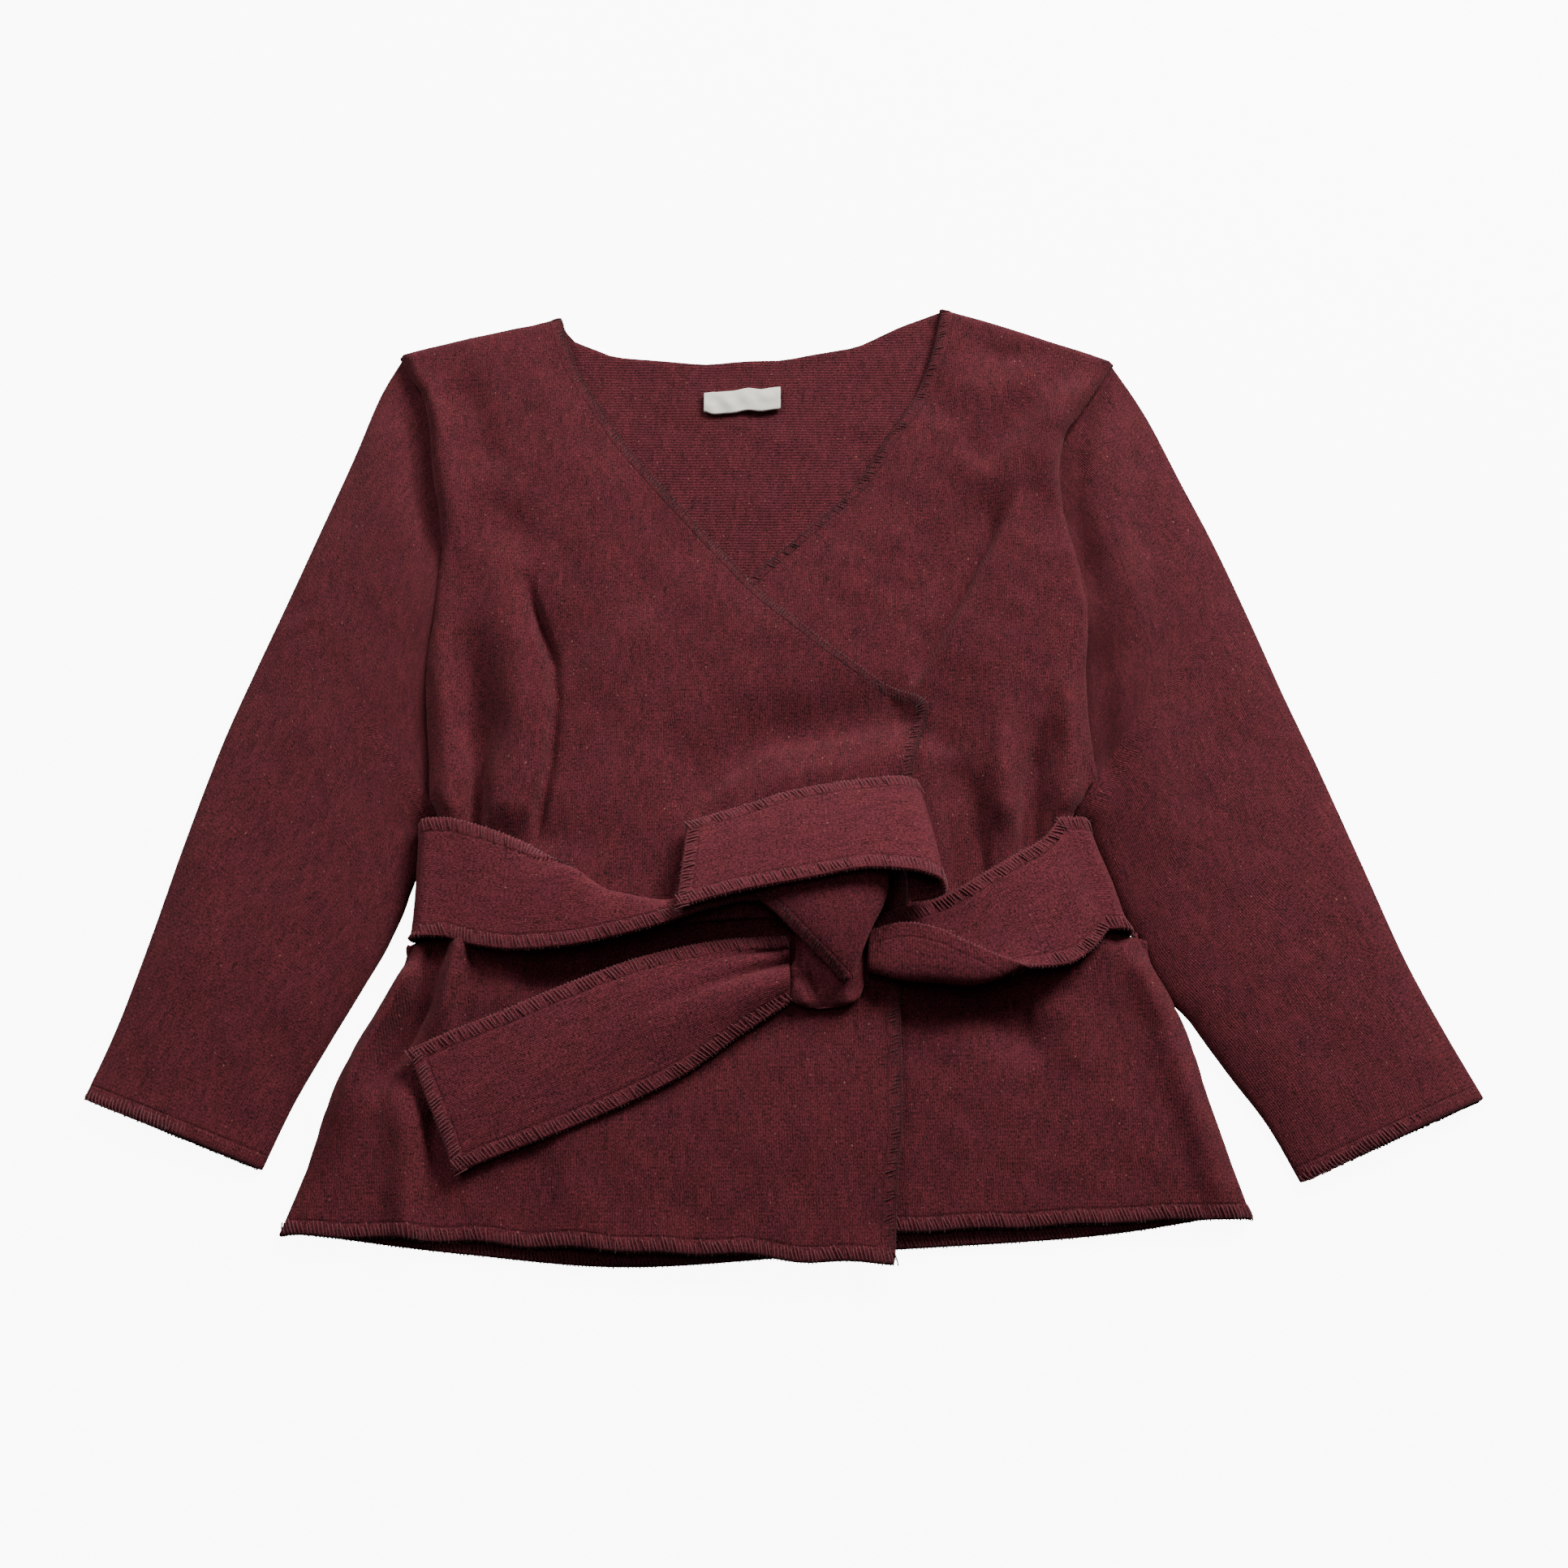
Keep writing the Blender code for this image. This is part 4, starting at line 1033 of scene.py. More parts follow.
class Overlocker:
    """Sews stitches along cut edges with one Geometry Nodes tree."""

    UNEVENNESS = 0.14  # how much the threads differ in size, as a share
    TURN = 0.12  # how far they are turned at random, in radians
    LEAST_HEIGHT = 0.05  # height above the floor that they keep, in millimetres

    def __init__(self) -> None:
        """Builds the tree and notes its inputs' identifiers."""
        self.tree = bpy.data.node_groups.new("overlock_edge", "GeometryNodeTree")
        self.inputs: dict[str, str] = {}
        for name, kind in (
            ("Edge", "NodeSocketGeometry"),
            ("Stitch", "NodeSocketObject"),
            ("Pitch", "NodeSocketFloat"),
            ("Unevenness", "NodeSocketFloat"),
            ("Turn", "NodeSocketFloat"),
            ("Seed", "NodeSocketInt"),
            ("Finish", "NodeSocketMaterial"),
        ):
            socket = self.tree.interface.new_socket(name, in_out="INPUT", socket_type=kind)
            self.inputs[name] = socket.identifier
        self.tree.interface.new_socket("Threads", in_out="OUTPUT", socket_type="NodeSocketGeometry")
        self.build()

    def build(self) -> None:
        """Adds the nodes: edge to curve, even points, a turned stitch on each, realized."""
        board = Board(self.tree)
        given = self.tree.nodes.new("NodeGroupInput")
        wires = {socket.name: Wire(board, socket) for socket in given.outputs if socket.name}
        curve = board.node("GeometryNodeMeshToCurve", {}, {"Mesh": wires["Edge"]})
        even = {"Curve": curve, "Length": wires["Pitch"]}
        points = board.node("GeometryNodeResampleCurve", {"mode": "LENGTH"}, even)
        named = {
            key: board.node("GeometryNodeInputNamedAttribute", {"data_type": "FLOAT_VECTOR"},
                            {"Name": key})
            for key in ("up", "along")
        }
        axes = {"Primary Axis": named["up"], "Secondary Axis": named["along"]}
        choice = {"primary_axis": "Z", "secondary_axis": "X"}
        facing = board.node("FunctionNodeAxesToRotation", choice, axes)
        seed = wires["Seed"]
        turn = self.random(board, wires["Turn"] * -1.0, wires["Turn"], seed)
        twist = board.node("ShaderNodeCombineXYZ", {}, {"Z": turn, "X": turn * 0.5})
        twist = board.node("FunctionNodeEulerToRotation", {}, {"Euler": twist})
        sockets = {"Rotation": facing, "Rotate By": twist}
        facing = board.node("FunctionNodeRotateRotation", {"rotation_space": "LOCAL"}, sockets)
        small, large = 1.0 - wires["Unevenness"], 1.0 + wires["Unevenness"]
        sizes = [self.random(board, small, large, seed + step) for step in (1.0, 2.0, 3.0)]
        size = board.node("ShaderNodeCombineXYZ", {}, dict(zip("XYZ", sizes)))
        thread = board.node("GeometryNodeObjectInfo", {}, {"Object": wires["Stitch"]}, "Geometry")
        sockets = {"Points": points, "Instance": thread, "Rotation": facing, "Scale": size}
        sewn = board.node("GeometryNodeInstanceOnPoints", {}, sockets)
        real = board.node("GeometryNodeRealizeInstances", {}, {"Geometry": sewn})
        sockets = {"Geometry": real, "Material": wires["Finish"]}
        dressed = board.node("GeometryNodeSetMaterial", {}, sockets)
        result = self.tree.nodes.new("NodeGroupOutput")
        self.tree.links.new(dressed.socket, result.inputs[0])

    @staticmethod
    def random(board: Board, low: Wire, high: Wire, seed: Wire) -> Wire:
        """A random number for each stitch between two values."""
        sockets = {"Min": low, "Max": high, "Seed": seed}
        made = board.tree.nodes.new("FunctionNodeRandomValue")
        made.data_type = "FLOAT"
        for socket in made.inputs:
            if socket.enabled and socket.name in sockets:
                board.tree.links.new(sockets[socket.name].socket, socket)
        return Wire(board, next(s for s in made.outputs if s.enabled))

    def sew(self, name: str, paths: list[tuple[Grid, Grid]], stitch: Stitch, seed: int,
            closed: bool = False) -> bpy.types.Object:
        """Sews a stitch along some paths.

        Args:
            name: the finished piece's name.
            paths: points and upward directions of each path, in millimetres.
            stitch: the stitch.
            seed: for its unevenness.
            closed: whether the paths come back to their start.

        Returns:
            The stitches as one plain mesh.
        """
        points, edges, ups, alongs = [], [], [], []
        total = 0
        for line, up in paths:
            count = len(line)
            last = count if closed else count - 1
            edges += [(total + k, total + (k + 1) % count) for k in range(last)]
            points.append(line)
            ups.append(up)
            round_line = np.concatenate([line[-1:], line, line[:1]]) if closed else line
            heading = unit(np.gradient(round_line, axis=0))
            alongs.append(heading[1:-1] if closed else heading)
            total += count
        mesh = new_mesh(name, np.concatenate(points), edges, [])
        for key, values in (("up", ups), ("along", alongs)):
            mesh.attributes.new(key, "FLOAT_VECTOR", "POINT")
            mesh.attributes[key].data.foreach_set("vector", np.concatenate(values).ravel())
        carrier = add(name + "_path", mesh)
        thread = add(stitch.name + "_thread", stitch.mesh())
        modifier = carrier.modifiers.new("overlock", "NODES")
        modifier.node_group = self.tree
        for key, value in (
            ("Stitch", thread),
            ("Pitch", stitch.pitch * MM),
            ("Unevenness", self.UNEVENNESS),
            ("Turn", self.TURN),
            ("Seed", seed),
            ("Finish", WARDROBE.get(stitch.finish)),
        ):
            modifier[self.inputs[key]] = value
        graph = bpy.context.evaluated_depsgraph_get()
        made = bpy.data.meshes.new_from_object(carrier.evaluated_get(graph), depsgraph=graph)
        made.name = name
        for item in (carrier, thread):
            bpy.data.objects.remove(item)
        self.keep_above_floor(made)
        return add(name, made)

    @classmethod
    def keep_above_floor(cls, mesh: bpy.types.Mesh) -> None:
        """Flattens the threads that lie between the cloth and the floor."""
        places = np.zeros(len(mesh.vertices) * 3)
        mesh.vertices.foreach_get("co", places)
        places[2::3] = np.maximum(places[2::3], cls.LEAST_HEIGHT * MM)
        mesh.vertices.foreach_set("co", places)
        mesh.update()


@dataclass(frozen=True)
class Cut:
    """The flat piece that a sheet was cut to, in metres and square metres."""

    width: float
    length: float
    area: float | None = None


class Tailor:
    """Finishes pieces: stitches their edges and attaches them to the body."""

    FIRST_SEED = 11

    def __init__(self) -> None:
        """Sets up the machine."""
        self.machine = Overlocker()

    def declare(self, piece: bpy.types.Object, slot: str, nodes: tuple[str, ...] = ()) -> None:
        """Attaches a piece to the body, hides the nodes that it stands for and logs its faces."""
        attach(piece, BODY)
        if nodes:
            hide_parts(*nodes)
        LOG.info("%s: %d faces", piece.name, len(piece.data.polygons))

    def cloth(self, node: str, wall: Wall, finishes: tuple[Knit, Knit], slot: str, cut: Cut,
              rests_on: tuple[str, ...], held: str = "laid",
              stitches: tuple[tuple[Stitch, tuple[Side, ...]], ...] = ()) -> bpy.types.Object:
        """Makes a piece of cloth in place of a node, with its sewn edges.

        Args:
            node: the CAD node that it stands for, whose name it takes.
            wall: its shape.
            finishes: its right and wrong sides.
            slot: the record's material slot, not used.
            cut: the flat size that it was cut to, not used.
            rests_on: the pieces that it lies on, not used.
            held: how it is held, not used.
            stitches: the stitch and the sides of each sewn edge.

        Returns:
            The piece.
        """
        piece = link(node + "_cloth", wall.mesh(node), *finishes)
        self.declare(piece, slot, (node,))
        for step, (stitch, sides) in enumerate(stitches):
            paths = [wall.path(side) for side in sides]
            name = f"{node}_{stitch.name}"
            threads = self.machine.sew(name, paths, stitch, self.FIRST_SEED + step, wall.round)
            self.declare(threads, slot)
        return piece


def column(table: tuple, first: int, second: int) -> list[tuple[float, float]]:
    """Two columns of a table as a line of points."""
    return [(row[first], row[second]) for row in table]


SEAM_LINE_LEFT = column(OVER_SECTIONS, 0, 1)
SEAM_LINE_RIGHT = column(UNDER_SECTIONS, 2, 3)
SHOULDER_LEFT = (OVER_SECTIONS[-1][:2], OVER_SECTIONS[-1][2:])
SHOULDER_RIGHT = (UNDER_SECTIONS[-1][:2], UNDER_SECTIONS[-1][2:])
UNDER_FREE_EDGE = column(UNDER_SECTIONS, 0, 1)
OPEN_NECK = ((-82, 168), (-40, 93), (-8, 62), (25, 97), (58, 172))
NECK_POINT = 2  # the lowest of those points, where the necklines cross


def seam_x(seam: list[tuple[float, float]], y: Grid) -> Grid:
    """Where a side seam of the body lies at given heights up the garment."""
    line = read_table(seam, 4 * len(seam) - 3)
    return np.interp(y, line[:, 1], line[:, 0])


class Lie:
    """How high the fronts lie: what carries them, their loft and their folds."""

    @staticmethod
    def fold(x: Grid, y: Grid, kind: str, height: float, left: float, right: float,
             fade_in: float, fade_out: float, line: tuple) -> Grid:
        """What one fold adds to the height.

        Args:
            x: places across.
            y: places up the garment.
            kind: "ridge" or "cliff".
            height: its height.
            left: its spread to the left of its line.
            right: its spread to the right.
            fade_in: the share of its line over which it grows.
            fade_out: the share over which it fades.
            line: its points.

        Returns:
            The height at each place.
        """
        distance, along = from_line(x, y, line)
        spread = np.where(distance < 0, left, right)
        run_in = smooth_step(along, FADE_START, fade_in) if fade_in else 1.0
        run_out = smooth_step(1 - along, FADE_START, fade_out) if fade_out else 1.0
        if kind == "cliff":
            shape = np.tanh(distance / CLIFF_EDGE) * np.exp(-np.abs(distance) / spread)
        else:
            shape = np.exp(-((distance / spread) ** 2))
        return height * run_in * run_out * shape

    @staticmethod
    def channel(y: Grid) -> Grid:
        """How far the back panel is lifted by the belt that passes under it."""
        up = np.clip((y - (BELT_LOW - 0.5 - BELT_RAMP)) / BELT_RAMP, 0, 1)
        down = np.clip((BELT_HIGH + 0.5 + BELT_RAMP - y) / BELT_RAMP, 0, 1)
        return (CLOTH + GAP) * up * down

    @staticmethod
    def eased_channel(y: Grid) -> Grid:
        """The same for the fronts, which rise over it in a long soft slope."""
        up = smooth_step(y, BELT_LOW - CHANNEL_EASE, BELT_LOW - 1.0)
        down = 1 - smooth_step(y, BELT_HIGH + 1.0, BELT_HIGH + CHANNEL_EASE)
        return (CLOTH + GAP) * up * down

    @staticmethod
    def inside_neck(x: Grid, y: Grid) -> Grid:
        """Whether points lie in the open V between the two necklines."""
        left_x, left_y = zip(*OPEN_NECK[NECK_POINT::-1])
        right_x, right_y = zip(*OPEN_NECK[NECK_POINT:])
        within = (x > np.interp(y, left_y, left_x)) & (x < np.interp(y, right_y, right_x))
        return (y > OPEN_NECK[NECK_POINT][1]) & within

    @classmethod
    def loft(cls, x: Grid, y: Grid) -> Grid:
        """How far the fronts stand above what they lie on, folds and all."""
        base = np.interp(y, *zip(*LOFT))
        neck, _ = from_line(x, y, OPEN_NECK)
        neck = np.where(cls.inside_neck(x, y), 0, np.abs(neck))
        base = base * (NECK_LOFT + (1 - NECK_LOFT) * smooth_step(neck, 0, NECK_EASE))
        base = base * (HEM_LOFT + (1 - HEM_LOFT) * smooth_step(y - HEM_LINE, 0, HEM_EASE))
        pressed = smooth_step(y, *PRESSED_START) * (1 - smooth_step(y, *PRESSED_END))
        folds = sum(cls.fold(x, y, *fold) for fold in FOLDS)
        folds = np.minimum(folds, 0) + np.maximum(folds, 0) * (1 - PRESSED_SHARE * pressed)
        base = base * PUFF + folds
        return 0.5 * (base + np.sqrt(base * base + SOFT_FLOOR))

    @staticmethod
    def seam_lift(y: Grid) -> Grid:
        """How much higher the side seams lie where a sleeve is pushed up against them."""
        return SEAM_LIFT * smooth_step(y, *LIFT_START) * (1 - smooth_step(y, *LIFT_END))

    @staticmethod
    def to_seams(x: Grid, y: Grid, lines: tuple) -> Grid:
        """Distance to the nearest of some seams."""
        return np.min([np.abs(from_line(x, y, line)[0]) for line in lines], axis=0)

    @staticmethod
    def over_step(x: Grid, y: Grid) -> Grid:
        """1 where the lower front lies under the upper one, 0 past its free edge."""
        distance, _ = from_line(x, y, UNDER_FREE_EDGE)
        return smooth_step(distance, -STEP_EASE, -STEP_CLEAR)


@dataclass
class Bodice:
    """The back and the two wrapped fronts."""

    tailor: Tailor
    steps: int = 8
    across_over: int = 190
    across_under: int = 160
    across_back: int = 70
    wave: float = 0.2
    hem_wave: float = 0.5
    back_steps: int = 5
    hem_blend: int = 10
    neck_blend: int = 8

    def plan(self, sections: tuple, across: int, seed: int) -> tuple[Grid, Grid]:
        """The plan of a panel as a grid of points, rows from hem to shoulder.

        Args:
            sections: its table.
            across: points in a row.
            seed: for the unevenness of its hem.

        Returns:
            Places across and up the garment.
        """
        ends = read_table(sections, (len(sections) - 1) * self.steps + 1)
        share = 0.5 * (crowded(across) + np.linspace(0, 1, across))[None, :]
        x = ends[:, 0:1] * (1 - share) + ends[:, 2:3] * share
        y = ends[:, 1:2] * (1 - share) + ends[:, 3:4] * share
        rise = np.linspace(0, 1, len(x))[:, None]
        y = y + self.hem_wave * (1 - rise) ** 14 * ripple(x, 0 * y, 24, seed)
        return x, y

    def front(self, name: str, sections: tuple, across: int, seams: tuple, upper: bool,
              free: Side, cut: Cut) -> bpy.types.Object:
        """One front, rolled down to its seams and lying free at its other edges.

        Args:
            name: the node.
            sections: its table.
            across: points in a row.
            seams: its side and shoulder seams.
            upper: whether it wraps over the other.
            free: the side that has its free edge.
            cut: its flat size, not used.

        Returns:
            The piece.
        """
        seed = 3 + int(upper)
        x, y = self.plan(sections, across, seed)
        distance = Lie.to_seams(x, y, seams)
        run = ROLL + (ARM_ROLL - ROLL) * smooth_step(y, *ARM_ROLL_START)
        share = np.clip(distance / run, 0, 1)
        roll = np.sqrt(np.clip(1 - (1 - share) ** 2, 0, 1))
        rise = Lie.loft(x, y)
        if upper:
            rise = rise + Lie.over_step(x, y) * (CLOTH + LAYER_GAP)
        rise = rise + self.wave * ripple(x, y, 17, seed) * smooth_step(rise, 0.3, 2.5)
        full = CLOTH + GAP + CLOTH + rise
        low = SEAM_HEIGHT + Lie.seam_lift(y)
        top = Lie.eased_channel(y) + low + (full - low) * roll
        outer = np.stack([x, y, top], axis=-1)
        inner = outer - normals_of(outer) * CLOTH
        floor = Lie.channel(inner[..., 1]) + (CLOTH + GAP) * smooth_step(distance, 0.5, 3.0)
        inner[..., 2] = np.maximum(inner[..., 2], floor)
        wall = Wall(outer, inner, np.stack([x, y], axis=-1), (Side.HEM, free))
        return self.tailor.cloth(
            name, wall, (KNIT, KNIT_INSIDE), "knit", cut, ("back_cloth",),
            stitches=((OVERLOCK, (Side.HEM,)), (FINE_OVERLOCK, (free,))),
        )

    def neck_curve(self, count: int) -> Grid:
        """The back panel's upper edge, read so that it keeps the two tips of the neck."""
        line = np.asarray(BACK_TOP, float)
        length = np.concatenate([[0], np.cumsum(np.hypot(*np.diff(line, axis=0).T))])
        places = crowded(count) * length[-1]
        for tip in NECK_TIPS:
            places[np.argmin(np.abs(places - length[tip]))] = length[tip]
        return np.stack([np.interp(places, length, line[:, axis]) for axis in (0, 1)], axis=1)

    def back(self, cut: Cut) -> bpy.types.Object:
        """The back: flat on the floor, and over the belt where that passes behind it."""
        rows = (len(OVER_SECTIONS) - 1) * self.back_steps + 1
        left = read_table(SEAM_LINE_LEFT, rows) + (BACK_INSET, 0)
        right = read_table(SEAM_LINE_RIGHT, rows) - (BACK_INSET, 0)
        share = crowded(self.across_back)[None, :, None]
        plan = left[:, None] * (1 - share) + right[:, None] * share
        rise = np.linspace(0, 1, rows)[:, None, None]
        hem = read_table(BACK_HEM, self.across_back)
        plan = plan + (1 - rise) ** self.hem_blend * (hem - plan[0])
        neck = self.neck_curve(self.across_back)
        plan = plan + rise**self.neck_blend * (neck - plan[-1])
        x, y = plan[..., 0], plan[..., 1]
        bare = smooth_step(y, 60, 100)
        under = np.stack([x, y, Lie.channel(y)], axis=-1)
        thick = CLOTH + 0.25 * bare * (1 + ripple(x, y, 16, 21))
        over = under + np.stack([0 * x, 0 * x, thick], axis=-1)
        under[..., 2] += 0.05
        wall = Wall(over, under, plan.copy(), (Side.HEM,))
        return self.tailor.cloth(
            "back", wall, (KNIT_INSIDE, KNIT), "knit", cut, (),
            stitches=((OVERLOCK, (Side.HEM,)),),
        )

    def build(self) -> None:
        """Makes the three panels."""
        self.back(Cut(0.305, 0.342, 0.08))
        self.front("front_under", UNDER_SECTIONS, self.across_under,
                   (SEAM_LINE_RIGHT, SHOULDER_RIGHT), False, Side.LEFT, Cut(0.205, 0.34, 0.049))
        self.front("front_over", OVER_SECTIONS, self.across_over,
                   (SEAM_LINE_LEFT, SHOULDER_LEFT), True, Side.RIGHT, Cut(0.195, 0.34, 0.0485))


@dataclass
class Sleeve:
    """One long sleeve: a flat tube of cloth, open at the cuff and at the armhole."""

    tailor: Tailor
    name: str
    sections: tuple
    seam: list[tuple[float, float]]
    side: int
    belt_reach: float
    leaves_body: float
    cut: Cut
    high: float = 7.6
    cuff_high: float = 4.9
    armhole_high: float = 4.2
    fold_height: float = 1.0
    inset: float = 3.4
    tuck: float = 1.2
    least_air: float = 0.3
    unevenness: float = 0.22
    lift_share: float = 0.4
    across: int = 64
    steps: int = 12

    def build(self) -> bpy.types.Object:
        """Makes the sleeve.

        Returns:
            The piece.
        """
        rows = (len(self.sections) - 1) * self.steps + 1
        ends = read_table(self.sections, rows)
        outer_fold, inner_fold = ends[:, :2], self.tucked(ends[:, 2:])
        across = crowded(self.across)
        armhole = outer_fold[-1] + (inner_fold[-1] - outer_fold[-1]) * across[:, None]
        bow = seam_x(self.seam, armhole[:, 1]) - self.side * self.tuck - armhole[:, 0]
        width = inner_fold - outer_fold
        start = self.inset / self.crossing(width, outer_fold)
        end = self.inset / self.crossing(width, inner_fold)
        share = np.tile(across, (rows, 1))
        inside = start[:, None] + (1 - start - end)[:, None] * across
        up = np.linspace(0, 1, rows)[:, None]
        full = self.cuff_high + (self.high - self.cuff_high) * smooth_step(up, 0, 0.3)
        rings = []
        for places, sunk in ((share, 0.0), (inside, CLOTH)):
            plan = outer_fold[:, None] + width[:, None] * places[..., None]
            plan[..., 0] += up**5 * np.interp(places, across, bow)
            dome = np.clip(1 - np.abs(2 * places - 1) ** 2.6, 0, 1) ** 0.5
            uneven = self.unevenness * ripple(plan[..., 0], plan[..., 1], 21, 5 + self.side)
            folds = sum(Lie.fold(plan[..., 0], plan[..., 1], *fold) for fold in SLEEVE_FOLDS)
            uneven = (uneven + folds) * dome
            drop = smooth_step(plan[..., 1], 40, 130)
            high = full + (self.armhole_high - full) * drop * smooth_step(up, 0.55, 1.0)
            lift = self.lift_share * Lie.seam_lift(plan[..., 1]) * smooth_step(places, 0.5, 1)
            fold = self.fold_height + lift
            top = fold + (high - fold) * dome + uneven - sunk
            low = fold * (1 - np.minimum(1, dome * 2.4)) ** 2 + 0.03
            under = np.where(sunk > 0, sunk, low)
            least = 2 * CLOTH + self.least_air if not sunk else CLOTH + self.least_air
            soft = np.minimum(least, fold + (least - fold) * dome)
            top = np.maximum(top, np.where(sunk > 0, under + 0.25, soft))
            over = np.concatenate([plan, top[..., None]], axis=2)
            below = np.concatenate([plan, np.broadcast_to(under, top.shape)[..., None]], axis=2)
            rings.append(np.concatenate([over, below[:, -2:0:-1]], axis=1))
        outer, inner = rings
        if self.side > 0:
            outer, inner = outer[:, ::-1], inner[:, ::-1]
        wall = Wall(outer, inner, self.unrolled(outer), (Side.HEM,), round=True)
        return self.tailor.cloth(
            self.name, wall, (KNIT, KNIT_INSIDE), "knit", self.cut, (),
            stitches=((OVERLOCK, (Side.HEM,)),),
        )

    def tucked(self, fold: Grid) -> Grid:
        """The inner fold, drawn in to the body's side or to the belt that turns round it."""
        y = fold[:, 1]
        low = BELT_LOW if self.side < 0 else BELT_LOW_RIGHT
        belt = smooth_step(y, low - 1.8, low - 0.4)
        belt = belt * (1 - smooth_step(y, BELT_HIGH - 2.0, BELT_HIGH + 0.8))
        stand = belt * (self.belt_reach + 0.9 + CLOTH / 2) - (1 - belt) * self.tuck
        target = seam_x(self.seam, y) + self.side * stand
        near = smooth_step(y, self.leaves_body - 4, self.leaves_body + 8)
        drawn = fold.copy()
        drawn[:, 0] += near * (target - fold[:, 0])
        return drawn

    @staticmethod
    def crossing(width: Grid, fold: Grid) -> Grid:
        """The length over which a sleeve's sections come one unit away from its fold."""
        along = unit(np.gradient(fold, axis=0))
        sine = np.abs(width[:, 0] * along[:, 1] - width[:, 1] * along[:, 0])
        return np.maximum(sine, 0.14 * np.linalg.norm(width, axis=1))

    @staticmethod
    def unrolled(outer: Grid) -> Grid:
        """A UV grid: length around the tube, and length along it."""
        closed = np.concatenate([outer, outer[:, :1]], axis=1)
        around = travelled(closed, 1)
        mean = travelled(outer, 0).mean(axis=1)
        around = around - around[:, around.shape[1] // 2][:, None]
        return np.stack([around, np.broadcast_to(mean[:, None], around.shape)], axis=-1)


